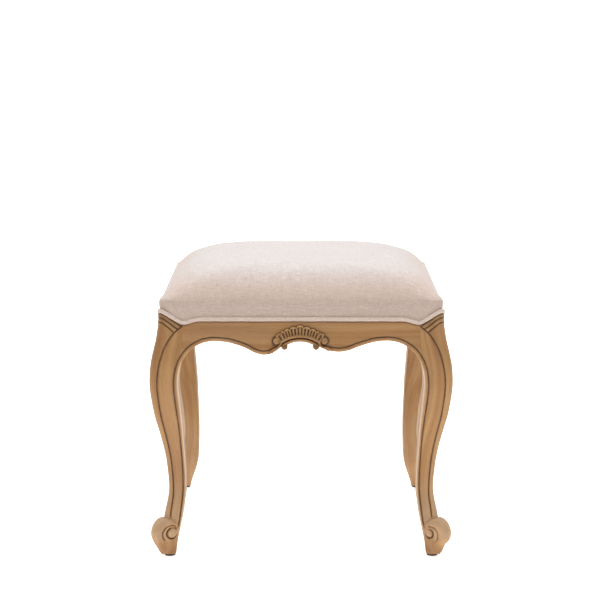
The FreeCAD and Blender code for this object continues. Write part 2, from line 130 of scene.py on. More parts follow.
# ------------------------------------------------------------------ mesh helpers
def make_object(name, verts, faces, smooth=True, attrs=None, uv=None):
    mesh = bpy.data.meshes.new(name)
    mesh.from_pydata([tuple(v) for v in verts], [], [tuple(f) for f in faces])
    mesh.validate()
    for key, values in (attrs or {}).items():
        values = np.asarray(values, dtype=np.float32)
        if values.ndim == 1:
            a = mesh.attributes.new(key, "FLOAT", "POINT")
            a.data.foreach_set("value", values)
        else:
            a = mesh.attributes.new(key, "FLOAT_VECTOR", "POINT")
            a.data.foreach_set("vector", values.ravel())
    if uv is not None:
        layer = mesh.uv_layers.new(name="UVMap")
        loops = np.zeros(len(mesh.loops), dtype=np.int32)
        mesh.loops.foreach_get("vertex_index", loops)
        layer.data.foreach_set("uv", np.asarray(uv, dtype=np.float32)[loops].ravel())
    if smooth:
        mesh.polygons.foreach_set("use_smooth", np.ones(len(mesh.polygons), dtype=bool))
    mesh.update()
    obj = bpy.data.objects.new(name, mesh)
    bpy.context.scene.collection.objects.link(obj)
    return obj


def loft_faces(rows, cols, closed=True, flip=False):
    faces = []
    for r in range(rows - 1):
        for c in range(cols if closed else cols - 1):
            d = (c + 1) % cols
            q = (r * cols + c, r * cols + d, (r + 1) * cols + d, (r + 1) * cols + c)
            faces.append(q[::-1] if flip else q)
    return faces


def outward(obj):
    bm = bmesh.new()
    bm.from_mesh(obj.data)
    bmesh.ops.recalc_face_normals(bm, faces=bm.faces)
    bm.to_mesh(obj.data)
    bm.free()
    obj.data.update()


# ------------------------------------------------------------------ depth of the carving on faces of leg and rail
def contour(edge_fn, half, knee):
    """The inner line of one side of the stool, from the rail's middle down the
    leg, as (distance inwards from the knee plane, z)."""
    x = np.linspace(0, half, 260)
    rail = np.stack([knee - x, edge_fn(x)], 1)
    z = np.linspace(333.0, FOOT_Z, 300)
    leg = np.stack([f_in(z), z], 1)
    return np.concatenate([rail, leg])


def distance(points, line):
    """Distance of points from a polyline, and the z where it is nearest."""
    best = np.full(len(points), 1e9)
    near = np.zeros(len(points))
    a, b = line[:-1], line[1:]
    ab = b - a
    l2 = (ab ** 2).sum(1) + 1e-12
    for s in range(0, len(points), 4000):
        p = points[s:s + 4000]
        t = np.clip(((p[:, None] - a[None]) * ab[None]).sum(2) / l2[None], 0, 1)
        q = a[None] + t[..., None] * ab[None]
        d2 = ((p[:, None] - q) ** 2).sum(2)
        k = d2.argmin(1)
        i = np.arange(len(p))
        best[s:s + 4000] = np.sqrt(d2[i, k])
        near[s:s + 4000] = q[i, k, 1]
    return best, near


GROOVE_W, GROOVE_D = 2.1, 1.7


def bead_depth(delta, width, depth=GROOVE_D):
    """Depth below the face of an edge bead of that width with its groove."""
    t = np.clip(delta / width, 0, 1)
    bead = (width * 0.42) * (1 - np.sqrt(np.clip(1 - (1 - 2 * np.minimum(t, 0.5)) ** 2, 0, 1)))
    inner = depth * (1 - np.sqrt(np.clip(1 - (2 * np.maximum(t, 0.5) - 1) ** 2 * 0.999, 0, 1)))
    out = np.where(t < 0.5, bead, inner)
    s = (delta - width) / GROOVE_W
    wall = depth * (1 - smooth01(s))
    return np.where(delta > width, wall, out)


# ------------------------------------------------------------------ leg
FRONT_FN, REAR_FN, SIDE_FN = edge_curve(FRONT_EDGE), edge_curve(REAR_EDGE), edge_curve(SIDE_EDGE)
LINE = contour(FRONT_FN, HALF_W - POST_A, HALF_W)          # (a, z), shared by all leg faces
LEG_LINE = LINE[LINE[:, 0] < 130.0]


def offset_line(line, width_fn):
    t = np.gradient(line, axis=0)
    t /= np.linalg.norm(t, axis=1)[:, None] + 1e-12
    n = np.stack([t[:, 1], -t[:, 0]], 1)                   # towards the wood
    return line + n * width_fn(line[:, 1])[:, None]


OFF = offset_line(LEG_LINE, f_bead)
if OFF[-1, 0] > LEG_LINE[-1, 0]:
    OFF = 2 * LEG_LINE - OFF
_o = OFF[OFF[:, 0] < POST_A + 0.6]
_o = _o[np.argsort(_o[:, 1])]
GROOVE_Z, GROOVE_AX = _o[:, 1], _o[:, 0]


def leg_section(z_half):
    """Half of a leg's section, from the front face's inner edge to the corner's
    diagonal, with the surface's inward direction, for heights given per column."""
    o, i, g = f_out(z_half), f_in(z_half), f_groove(z_half)
    axg = np.minimum(np.interp(z_half, GROOVE_Z, GROOVE_AX), i - 0.5)
    over = smooth01((z_half - GROOVE_Z[-1]) / 5.0)
    axg = np.where(z_half > GROOVE_Z[-1], i - 0.5 + 0.25 * over, axg)
    wall = axg - np.minimum(GROOVE_W * (1 - over) + 0.25 * over, 0.4 * (axg - o - 14.0).clip(0.6))
    og = np.minimum(o + g, wall - 1.6)
    foot = smooth01((62.0 - z_half) / 30.0)
    rc = np.minimum(12.0, 0.92 * g) * (1 - foot) + 7.6 * foot
    rc = np.minimum(rc, og - o - 1.3)
    zone, t = COLS[:, 0], COLS[:, 1]
    ax = np.select(
        [zone == 1, zone == 2, zone == 3, zone == 4],
        [i + (axg - i) * (1 - np.cos(np.pi * t)) / 2, axg + (wall - axg) * t,
         wall + (og + 1.3 - wall) * t, og + 1.3 - 2.6 * t], 0.0)
    ay = o.copy()
    nx, ny = np.zeros_like(o), np.ones_like(o)
    flat = np.maximum(og - 1.3 - o - rc, 0.0)
    length = flat + rc * np.pi / 4
    s = t * length
    ang = np.clip((s - flat) / rc, 0, np.pi / 4)
    on_arc = (zone == 5) & (s > flat)
    ax = np.where(zone == 5, np.where(on_arc, o + rc - rc * np.sin(ang), og - 1.3 - s), ax)
    ay = np.where(on_arc, o + rc - rc * np.cos(ang), ay)
    nx = np.where(on_arc, np.sin(ang), nx)
    ny = np.where(on_arc, np.cos(ang), ny)
    span = np.where(zone == 5, 1.3 + s, 0.0)
    return ax, ay, nx, ny, span, o, i, g


COLS = np.array([(1, t) for t in np.linspace(0, 1, 11)] + [(2, t) for t in np.linspace(0, 1, 6)[1:]]
                + [(3, t) for t in np.linspace(0, 1, 10)[1:]] + [(4, t) for t in np.linspace(0, 1, 10)[1:]]
                + [(5, t) for t in np.linspace(0, 1, 17)[1:]])
NH = len(COLS)
FOOT_PAINTED_LIGHT, PAINTED_SHADE_UNDER_SEAT = 0.36, 0.07                                # painted light: paler feet, and a thin painted shade over the rails and the legs' tops under the seat
N_IN = 9                                                    # columns on each plain inner face
IN_R = 4.5


def foot_tone(z):
    # paler up the foot, a painted light from below; darker towards the sole
    return 0.17 * smooth01((37.0 - z) / 22.0) - FOOT_PAINTED_LIGHT * smooth01((150.0 - z) / 95.0) * smooth01((z - 20.0) / 26.0)


def reed_depth(t):
    d = 1.1 * np.exp(-(t / 0.85) ** 2) + 1.3 * np.exp(-((t - 5.55) / 0.9) ** 2) + 1.45 * np.exp(-((t - 11.0) / 0.95) ** 2)
    for a, b in ((0.0, 5.55), (5.55, 11.0)):
        u = np.clip((t - a) / (b - a), 0, 1)
        d -= 0.5 * np.sin(np.pi * u)
    return d


def leg_rows():
    """Heights of the rows; the last ones run parallel to the sloping top."""
    rows = [("z", z) for z in np.concatenate([[3.2, 3.9, 5.2, 7.5], np.arange(10.0, 361.0, 2.4)])]
    rows += [("mix", k / 7.0) for k in range(1, 7)]
    rows += [("top", t) for t in np.arange(25.8, -0.01, -0.6)]
    rows[-1] = ("top", 0.0)
    return rows


def leg_column():
    verts, glaze_and_painted_light = [], []
    for how, value in leg_rows():
        z = np.full(NH, value if how == "z" else 395.0)
        for _ in range(16):
            ax, ay, nx, ny, span, o, i, g = leg_section(z)
            if how == "z":
                break
            top = ear_top(ax, ay)
            z = 0.5 * z + 0.5 * (top - value if how == "top" else (1 - value) * 360.0 + value * (top - 25.8))
        zone = COLS[:, 0]
        # bead and groove along the inner line
        face = ~((zone == 5) & (span > 6))
        delta, _ = distance(np.stack([ax, z], 1), LEG_LINE)
        delta = np.where((zone == 1) & (COLS[:, 1] < 1e-6) & (z < 333.0), 0.0, delta)
        b = f_bead(z)
        fade = smooth01((z - 44.0) / 14.0)
        depth_bead = bead_depth(delta, b)
        r_e = 6.2
        plain = np.where(delta < r_e, r_e - np.sqrt(np.clip(r_e ** 2 - (r_e - np.minimum(delta, r_e)) ** 2, 0, None)), 0.0)
        depth = np.where(face, depth_bead * fade + plain * (1 - fade), 0.0)
        dark = np.where(face, np.exp(-((delta - b - 0.15) / 1.25) ** 2) * fade, 0.0)
        # groove beside the corner
        dz = (f_out(z + 1) + f_groove(z + 1) - f_out(z - 1) - f_groove(z - 1)) / 2
        d2 = np.where((zone == 5) & (span >= 6), 9.0, np.abs(ax - (o + g)))
        d2 = d2 / np.sqrt(1 + dz ** 2)
        end = smooth01((z - 63.0) / 8.0)
        depth = depth + 1.75 * np.exp(-(d2 / 0.95) ** 2) * end
        dark = np.maximum(dark, np.exp(-(d2 / 1.2) ** 2) * end)
        # the field between the grooves is a little hollow
        width = np.maximum((i - b) - (o + g), 1.0)
        u = np.clip(((i - b - GROOVE_W) - ax) / width, 0, 1)
        depth = depth + np.where(zone == 3, 0.45 * np.sin(np.pi * u) * smooth01((340 - z) / 40) * end, 0.0)
        # reeds under the sloping top, on the corner side of the groove
        below = (REED_Z + REED_SLOPE * (REED_SUM - ax - ay) - z) * 0.817
        below = below / (1.13 + 0.33 * np.clip((ax - o) / np.maximum(g, 1.0), 0, 1))     # wider towards the rail
        side = smooth01(((o + g) - ax) / 1.2 + 0.2)
        near = smooth01((14.5 - below) / 2.0)
        depth = depth + reed_depth(below) * side * near
        # the grooves between the reeds are glazed; the band under the piping carries a painted shadow and the lower
        # reed a painted highlight
        rd = 0.9 * np.exp(-(below / 1.15) ** 2) + np.exp(-((below - 5.55) / 1.1) ** 2) + np.exp(-((below - 11.0) / 1.1) ** 2)
        upper = 1 - smooth01((below - 4.5) / 2.2)
        dark = np.maximum(dark, np.clip(rd + 0.22 * upper, 0, 1) * side * near)
        dark = dark - 0.30 * np.exp(-((below - 8.3) / 1.6) ** 2) * side * near * (1 - np.clip(dark, 0, 1))
        # painted highlight along the bead's outer half
        painted_light = np.where(face, np.exp(-((delta - 0.06 * b) / (0.24 * b)) ** 2) * fade * smooth01((345.0 - z) / 30.0), 0.0)
        dark = np.where(painted_light > dark, -1.0 * painted_light, dark)
        # painted shade over the top of the leg, under the seat
        dark = dark + PAINTED_SHADE_UNDER_SEAT * smooth01((z - 318.0) / 40.0) * (1 - np.clip(np.abs(dark), 0, 1))
        # the foot is painted paler too, a painted light, but not its sole
        dark = dark + foot_tone(z) * (1 - np.clip(np.abs(dark), 0, 1))
        px, py = ax + nx * depth, ay + ny * depth
        # small round over the foot's lower rim
        inset = 0.0
        if how == "z" and value < 5.0:
            inset = 1.6 if value < 3.5 else 0.45
            c = (o + i) / 2
            px = c + (px - c) * (1 - inset / 11.0)
            py = c + (py - c) * (1 - inset / 11.0)
        half = np.stack([px, py, z], 1)
        mirror = half[:-1][::-1][:, [1, 0, 2]]
        # plain inner faces: from the side's inner edge round to the front's
        e0 = half[0]                                       # (i, o + depth)
        zz = half[0, 2]
        ii = e0[0]
        run = np.linspace(e0[1], ii - IN_R, N_IN)[1:]
        first = np.stack([run, np.full_like(run, ii), np.full_like(run, zz)], 1)     # along the side's inner face
        arc = np.linspace(0, np.pi / 2, 6)[1:-1]
        bend = np.stack([ii - IN_R + IN_R * np.sin(arc), ii - IN_R + IN_R * np.cos(arc), np.full_like(arc, zz)], 1)
        second = first[::-1][:, [1, 0, 2]]
        loop = np.concatenate([half, mirror, first, bend, second])
        verts.append(loop)
        # painted highlight on the inner faces, beside the bead only
        pale = -0.46 * smooth01((345.0 - zz) / 30.0) * (1 - smooth01(np.linspace(0, 1, N_IN)[1:] / 0.34))
        glaze_and_painted_light.append(np.concatenate([dark, dark[:-1][::-1], pale, np.zeros(len(bend)), pale[::-1]]))
    n = len(verts[0])
    rows = len(verts)
    v = np.concatenate(verts)
    gl = np.concatenate(glaze_and_painted_light)
    faces = loft_faces(rows, n)
    bottom, top = len(v), len(v) + 1
    first, last = verts[0], verts[-1]
    v = np.concatenate([v, [first.mean(0)], [last.mean(0)]])
    gl = np.concatenate([gl, [0, 0]])
    for c in range(n):
        d = (c + 1) % n
        faces.append((bottom, d, c))
        faces.append((top, (rows - 1) * n + c, (rows - 1) * n + d))
    return v, faces, gl


# the scroll of the foot: a rounded roll across the diagonal, its ends turned a little
# outwards, that runs down into the sole
SCROLL = dict(a=20.7, z=42.3, r=22.5, rw=25.0, h=15.5, rim=7.0, splay=0.2126, eye_z=43.2)


def volute_relief(w, z):
    """The front right foot: a smaller eye and a groove that winds out of it."""
    wx, dz = w + 3.3, z - SCROLL["eye_z"] - 0.2
    r = np.hypot(wx, dz)
    th = np.degrees(np.arctan2(dz, wx))
    eye = np.where(r < 5.7, 1.9 * np.sqrt(np.clip(1 - (r / 5.75) ** 4, 0, 1)), 0.0)
    r1 = np.interp(th, [-180, -160, -130, -90, -45, 0, 45, 80, 110, 180], [7.4, 8.0, 8.9, 9.2, 8.3, 7.2, 6.6, 6.3, 6.3, 7.0])
    s1 = np.interp(th, [-180, -165, -130, -90, 0, 40, 75, 105, 180], [0.0, 0.15, 0.55, 1.0, 1.0, 0.75, 0.3, 0.0, 0.0])
    ring1 = np.exp(-((r - r1) / 1.2) ** 2) * s1
    r2 = np.interp(th, [-60, -41, -14, 24, 72, 110], [18.6, 18.0, 16.2, 14.2, 11.0, 9.8])
    s2 = smooth01((th + 56.0) / 20.0) * smooth01((118.0 - th) / 30.0)
    ring2 = np.exp(-((r - r2) / 1.15) ** 2) * s2
    bead = 0.9 * np.exp(-((r - (r1 + r2) / 2) / 2.0) ** 2) * s2
    return eye - 2.2 * ring1 - 1.5 * ring2 + bead, np.clip(np.maximum(1.45 * ring1, 0.5 * ring2), 0, 1)


def scroll_relief(w, z, curl):
    """How far the ends of the roll stand out or are cut in, and the glaze there."""
    if curl:
        return volute_relief(w, z)
    dz = z - SCROLL["eye_z"]
    r = np.hypot(w, dz)
    re = np.hypot((w + 2.0) / 1.13, dz)
    th = np.degrees(np.arctan2(dz, w))                     # 0 outwards, 90 up
    eye = np.where(re < 8.2, 2.3 * np.sqrt(np.clip(1 - (re / 8.25) ** 5, 0, 1)) + 0.5 * (1 - (np.minimum(re, 8.2) / 8.2) ** 2), 0.0)
    open_ = 1 - 0.8 * smooth01((th - 80.0) / 15.0) * smooth01((150.0 - th) / 15.0)
    ring1 = np.exp(-((re - 9.1) / 0.95) ** 2) * open_
    rs = np.interp(th, [-60, -47, 0, 22, 54, 84, 112, 135], [15.4, 15.6, 15.9, 15.1, 13.7, 13.0, 12.9, 13.2])
    part = smooth01((th + 52.0) / 18.0) * smooth01((142.0 - th) / 14.0)
    ring2 = np.exp(-((r - rs) / 1.0) ** 2) * part
    bead = 0.8 * np.exp(-((r - (rs + 9.8) / 2) / 1.9) ** 2) * part
    rel = eye - 2.5 * ring1 - 2.0 * ring2 + bead
    faint = np.interp(th, [-50, 15, 60, 140], [0.72, 0.72, 0.48, 0.42])
    return rel, np.clip(1.35 * np.maximum(np.exp(-((re - 9.15) / 1.15) ** 2) * open_, faint * ring2), 0, 1)


def scroll_mesh(curl):
    """In (w, p, z): w outwards on the diagonal, p across it."""
    cz, R, RW = SCROLL["z"], SCROLL["r"], SCROLL["rw"]
    base = (6.6, 4.0)
    flat = R / RW
    v = np.array([base[0], base[1] - cz])
    dist = np.hypot(v[0] * flat, v[1])
    ang = math.atan2(v[1], v[0] * flat) + math.acos(R / dist)
    start = np.array([RW * math.cos(ang), R * math.sin(ang)])
    # the front right foot is a little hollow between roll and sole
    hollow = np.array([-v[1] + start[1], v[0] - start[0]]) * (-0.10 if curl else 0.0)
    f = np.linspace(0, 1, 9)[:, None]
    flank = start + (v - start) * f + hollow * 4 * f * (1 - f)
    poly = np.concatenate([flank, [(-10.0, base[1] - cz + 2.0), (-R, -4.0)]])
    NT, NR = 144, 44
    th = np.linspace(0, 2 * np.pi, NT, endpoint=False)
    c, s_ = np.cos(th), np.sin(th)
    bound = 1 / np.sqrt((c / np.where(c > 0, RW, R)) ** 2 + (s_ / R) ** 2)
    for k, t in enumerate(th):
        d = np.array([math.cos(t), math.sin(t)])
        for a, b in zip(poly[:-1], poly[1:]):
            e = b - a
            den = d[0] * e[1] - d[1] * e[0]
            if abs(den) < 1e-9:
                continue
            s = (a[0] * e[1] - a[1] * e[0]) / den
            u = (a[0] * d[1] - a[1] * d[0]) / den
            if s > 0 and -1e-6 <= u <= 1 + 1e-6:
                bound[k] = max(bound[k], s)
    ker = np.array([1, 4, 6, 4, 1]) / 16.0
    bound = np.convolve(np.concatenate([bound[-2:], bound, bound[:2]]), ker, mode="valid")
    rho = 1 - (1 - np.linspace(0, 1, NR)) ** 1.35
    pts, glaze_and_painted_light = [], []
    sides = {}
    for sign in (1, -1):
        ids = []
        for j, q in enumerate(rho):
            w = q * bound * c
            z = cz + q * bound * s_
            delta = (1 - q) * bound
            h0 = SCROLL["h"] - 6.0 * smooth01((30.0 - z) / 26.0) - SCROLL["splay"] * np.maximum(w, -3.5) - 0.12 * np.maximum(0.0, -7.0 - w)
            rim = np.minimum(SCROLL["rim"], h0 - 1.5)
            round_ = np.where(delta < rim, rim - np.sqrt(np.clip(rim ** 2 - (rim - np.minimum(delta, rim)) ** 2, 0, None)), 0.0)
            rel, dark = scroll_relief(w, z, curl)
            dome = 1.2 * (1 - np.clip(np.hypot(w, z - cz) / R, 0, 1) ** 2)
            h = h0 - round_ + dome + rel * smooth01(delta / 3.0)
            row = len(pts)
            if j == 0:
                pts.append((0.0, sign * float(h.mean()), cz))
                glaze_and_painted_light.append(float(foot_tone(cz)))
                ids.append([row] * NT)
            else:
                for k in range(NT):
                    pts.append((w[k], sign * h[k], z[k]))
                    # glaze in the ring grooves; elsewhere the foot's painted light
                    cut = float(dark[k] * smooth01(delta[k] / 3.0))
                    glaze_and_painted_light.append(cut + float(foot_tone(z[k])) * (1 - cut))
                ids.append(list(range(row, row + NT)))
        sides[sign] = ids
    faces = []
    for sign, ids in sides.items():
        for j in range(NR - 1):
            for k in range(NT):
                l = (k + 1) % NT
                f = [ids[j][k], ids[j + 1][k], ids[j + 1][l], ids[j][l]]
                f = list(dict.fromkeys(f))
                faces.append(f if sign < 0 else f[::-1])
    # the band between the two ends, a little fuller in the middle
    edge = sides[1][-1], sides[-1][-1]
    last = edge[0]
    steps = 7
    for s in range(1, steps + 1):
        if s == steps:
            row = edge[1]
        else:
            f = s / steps
            row = []
            for k in range(NT):
                a, b = np.array(pts[edge[0][k]]), np.array(pts[edge[1][k]])
                m = a + (b - a) * f
                fat = 0.9 * math.sin(math.pi * f)
                m[0] += fat * math.cos(th[k])
                m[2] += fat * math.sin(th[k])
                row.append(len(pts))
                pts.append(tuple(m))
                glaze_and_painted_light.append(float(foot_tone(m[2])))
        for k in range(NT):
            l = (k + 1) % NT
            faces.append((last[k], row[k], row[l], last[l]))
        last = row
    return np.array(pts), faces, np.array(glaze_and_painted_light)


def to_world(v, sx=-1, sy=-1):
    """From distances inwards at a corner to metres."""
    return np.stack([sx * (HALF_W - v[:, 0]), sy * (HALF_D - v[:, 1]), v[:, 2]], 1) * MM


def build_leg(curl):
    """The front left leg as one closed mesh; the grain runs down it and bends with it."""
    v, faces, gl = leg_column()
    o = f_out(v[:, 2])
    grain = np.stack([v[:, 2], v[:, 0] - o, v[:, 1] - o], 1) * MM
    column = make_object("leg_blank", to_world(v), faces)
    outward(column)
    s, sf, sg = scroll_mesh(curl)
    a = SCROLL["a"]
    k = math.sqrt(0.5)
    sv = np.stack([a - s[:, 0] * k + s[:, 1] * k, a - s[:, 0] * k - s[:, 1] * k, s[:, 2]], 1)
    sgrain = np.stack([sv[:, 2], sv[:, 0] - 17.4, sv[:, 1] - 17.4], 1) * MM
    roll = make_object("leg_scroll", to_world(sv), sf)
    outward(roll)
    mod = column.modifiers.new("join", "BOOLEAN")
    mod.operation = "UNION"
    mod.solver = "EXACT"
    mod.object = roll
    done = bpy.data.meshes.new_from_object(column.evaluated_get(bpy.context.evaluated_depsgraph_get()))
    for o in (column, roll):
        m = o.data
        bpy.data.objects.remove(o)
        bpy.data.meshes.remove(m)
    # glaze, painted light and grain of each point come from the nearest point of the two pieces
    src = np.concatenate([to_world(v), to_world(sv)])
    glaze_and_painted_light, grain = np.concatenate([gl, sg]), np.concatenate([grain, sgrain])
    tree = KDTree(len(src))
    for n, c in enumerate(src):
        tree.insert(c, n)
    tree.balance()
    near = np.array([tree.find(q.co)[1] for q in done.vertices])
    return done, glaze_and_painted_light[near].astype(np.float32), grain[near]


def read_vectors(data, key, n):
    out = np.zeros(n * 3)
    data.foreach_get(key, out)
    return out.reshape(-1, 3)


def leg_data(curl):
    mesh, glaze_and_painted_light, grain = build_leg(curl)
    return read_vectors(mesh.vertices, "co", len(mesh.vertices)), [tuple(p.vertices) for p in mesh.polygons], glaze_and_painted_light, grain


LEG, CURLED = leg_data(False), leg_data(True)
# the rear legs are a little fuller inside the ankle and slimmer at the top
REAR_ADD = curve([(0, -0.5), (3, -0.5), (25, 3.0), (49, 5.5), (70, 4.0), (88, 2.0), (120, 0.0), (200, 0.0), (250, -1.5), (350, -1.5), (440, 0.0)], 5.0)
pieces = {}
for name, sx, sy in (("front_left_leg", 1, 1), ("front_right_leg", -1, 1), ("rear_left_leg", 1, -1), ("rear_right_leg", -1, -1)):
    co, faces, gl, grain = CURLED if (sx, sy) == (-1, 1) else LEG
    co, gl = co.copy(), gl.copy()
    if sy < 0:
        ax, ay, z = HALF_W + co[:, 0] / MM, HALF_D + co[:, 1] / MM, co[:, 2] / MM
        o, i, add = f_out(z), f_in(z), REAR_ADD(z)
        gl = np.where(np.minimum(ax, ay) - o > 4.0, np.maximum(gl, 0.03), gl)
        gl = gl - 0.12 * smooth01((175.0 - z) / 70.0) * (1 - np.clip(np.abs(gl), 0, 1))
        co[:, 0] += add * np.clip((ax - o) / (i - o), 0, 1) ** 2 * MM
        co[:, 1] += add * np.clip((ay - o) / (i - o), 0, 1) ** 2 * MM
    co = co * np.array([sx, sy, 1.0])
    faces = faces if sx * sy > 0 else [f[::-1] for f in faces]
    shift = np.array([0.37 * (sx + 2 * sy), 3.1 * sx, 1.7 * sy])
    pieces[name] = make_object(name + "_carved", co, faces, attrs={"glaze_and_painted_light": gl, "grain": grain + shift})
    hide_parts(name)
    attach(pieces[name], "root")


# ------------------------------------------------------------------ rails
def hand_cut(x):
    """The front rail's lower edge is not quite even: lower left of the shell, higher right of it."""
    left = -2.9 * np.exp(-((x + 60.0) / 26.0) ** 2) - 0.8 * np.exp(-((x + 125.0) / 28.0) ** 2)
    right = 2.0 * np.exp(-((x - 57.0) / 24.0) ** 2)
    return np.where(x < 0, left, right) * smooth01((np.abs(x) - 26.0) / 14.0)


def rail_mesh(edge_fn, half, knee, bare_middle):
    """A rail along X with its face towards -Y: verts in mm, faces, glaze."""
    x = np.linspace(-half, half, 2 * int(half / 1.3) + 1)
    zl = edge_fn(x + (1.5 * np.exp(-(x / 42.0) ** 4) if bare_middle else 0.0))
    along = half + POST_A
    rail = np.stack([along - np.linspace(0, half, 400), edge_fn(np.linspace(0, half, 400))], 1)
    z = np.linspace(333.0, 250.0, 80)
    line = np.concatenate([rail, np.stack([f_in(z), z], 1)])
    off = offset_line(line, f_bead)
    if off[0, 1] < line[0, 1]:
        off = 2 * line - off
    ox, oz = along - off[:400, 0], off[:400, 1]
    order = np.argsort(ox)
    zg = np.interp(np.abs(x), ox[order], oz[order])
    ztop = RAIL_TOP - (RAIL_TOP - RAIL_DIP) * smooth01((np.abs(x) - (half - 28.0)) / 28.0)
    hb = np.clip(zg - zl, 3.0, 16.0)
    t1 = (1 - np.cos(np.pi * np.linspace(0, 1, 12))) / 2
    t2 = np.linspace(0, 1, 7)[1:]
    t3 = np.linspace(0, 1, 23)[1:]
    loops = []
    for k in range(len(x)):
        wall = GROOVE_W * hb[k] / 6.2
        zs = np.concatenate([zl[k] + hb[k] * t1, zl[k] + hb[k] + wall * t2,
                             zl[k] + hb[k] + wall + (ztop[k] - 0.8 - zl[k] - hb[k] - wall) * t3])
        p = np.stack([np.full_like(zs, along - abs(x[k])), zs], 1)
        loops.append((zs, p))
    flat = np.concatenate([p for _, p in loops])
    delta, _ = distance(flat, line)
    n = len(loops[0][0])
    delta = delta.reshape(len(x), n)
    verts, dark = [], []
    for k in range(len(x)):
        zs = loops[k][0]
        d = delta[k].copy()
        d[0] = 0.0
        keep = smooth01((abs(x[k]) - 40.0) / 9.0) if bare_middle else 1.0
        b = f_bead(zs)
        round_ = 2.6 * (1 - np.sqrt(np.clip(1 - (1 - np.minimum(d, 2.6) / 2.6) ** 2, 0, 1)))
        depth = bead_depth(d, b) * keep + round_ * (1 - keep)
        g = np.exp(-((d - b - 0.15) / 1.25) ** 2) * keep
        # painted highlight along the bead
        painted_light = np.exp(-((d - 0.30 * b) / (0.26 * b)) ** 2) * keep
        g = np.where(painted_light > g, -0.45 * painted_light, g)
        # a thin painted shade over the whole face, under the seat
        g = g + PAINTED_SHADE_UNDER_SEAT * (1 - np.abs(g))
        # painted shadow under the piping along the top edge
        g = np.maximum(g, 0.40 * np.exp(-((ztop[k] - zs) / 3.0) ** 2))
        y = -knee + f_out(zs) + depth
        drop = np.zeros(n)
        low = 0.0
        if bare_middle:
            g = np.maximum(g, shell_shadow(x[k], zs))
            low = float(hand_cut(x[k]))
            drop = low * (1 - smooth01((zs - zl[k] - 9.0) / 13.0))
        rows = [(x[k], y[j], zs[j] + drop[j]) for j in range(n)]
        # rounded top edge, top, back and underside
        yf = -knee + f_out(ztop[k])
        yb = -knee + RAIL_BACK_A
        rows += [(x[k], yf + 0.8, ztop[k])]
        rows += [(x[k], yf + (yb - yf) * f, ztop[k]) for f in (0.35, 0.7)]
        rows += [(x[k], yb - 0.6, ztop[k]), (x[k], yb, ztop[k] - 0.6)]
        rows += [(x[k], yb, ztop[k] + (zl[k] - ztop[k]) * f) for f in (0.25, 0.5, 0.75)]
        rows += [(x[k], yb, zl[k] + low + 1.0), (x[k], yb - 1.0, zl[k] + low)]
        rows += [(x[k], yb + (y[0] - yb) * f, zl[k] + low) for f in (0.3, 0.55, 0.8)]
        verts.append(rows)
        dark.append(np.concatenate([g, np.zeros(len(rows) - n)]))
    m = len(verts[0])
    v = np.array(verts).reshape(-1, 3)
    faces = loft_faces(len(x), m)
    faces.append(tuple(range(m))[::-1])
    faces.append(tuple((len(x) - 1) * m + c for c in range(m)))
    return v, faces, np.concatenate(dark)


def add_rail(name, v, faces, dark, turn, shift):
    c, s = math.cos(turn), math.sin(turn)
    w = np.stack([v[:, 0] * c - v[:, 1] * s, v[:, 0] * s + v[:, 1] * c, v[:, 2]], 1) * MM
    grain = np.stack([v[:, 0] * MM + shift, v[:, 1] * MM + 0.7 * shift, v[:, 2] * MM - 0.3 * shift], 1)
    obj = make_object(name + "_shaped", w, faces, attrs={"glaze_and_painted_light": dark, "grain": grain})
    outward(obj)
    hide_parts(name)
    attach(obj, "root")
    pieces[name] = obj


# ------------------------------------------------------------------ carved shell
def smooth_path(points, times=3):
    """Corner cutting on an open line."""
    p = np.array(points, float)
    for _ in range(times):
        q = np.empty((2 * len(p), 2))
        q[0], q[-1] = p[0], p[-1]
        q[1:-1:2] = 0.75 * p[:-1] + 0.25 * p[1:]
        q[2::2] = 0.25 * p[:-1] + 0.75 * p[1:]
        p = q
    return p


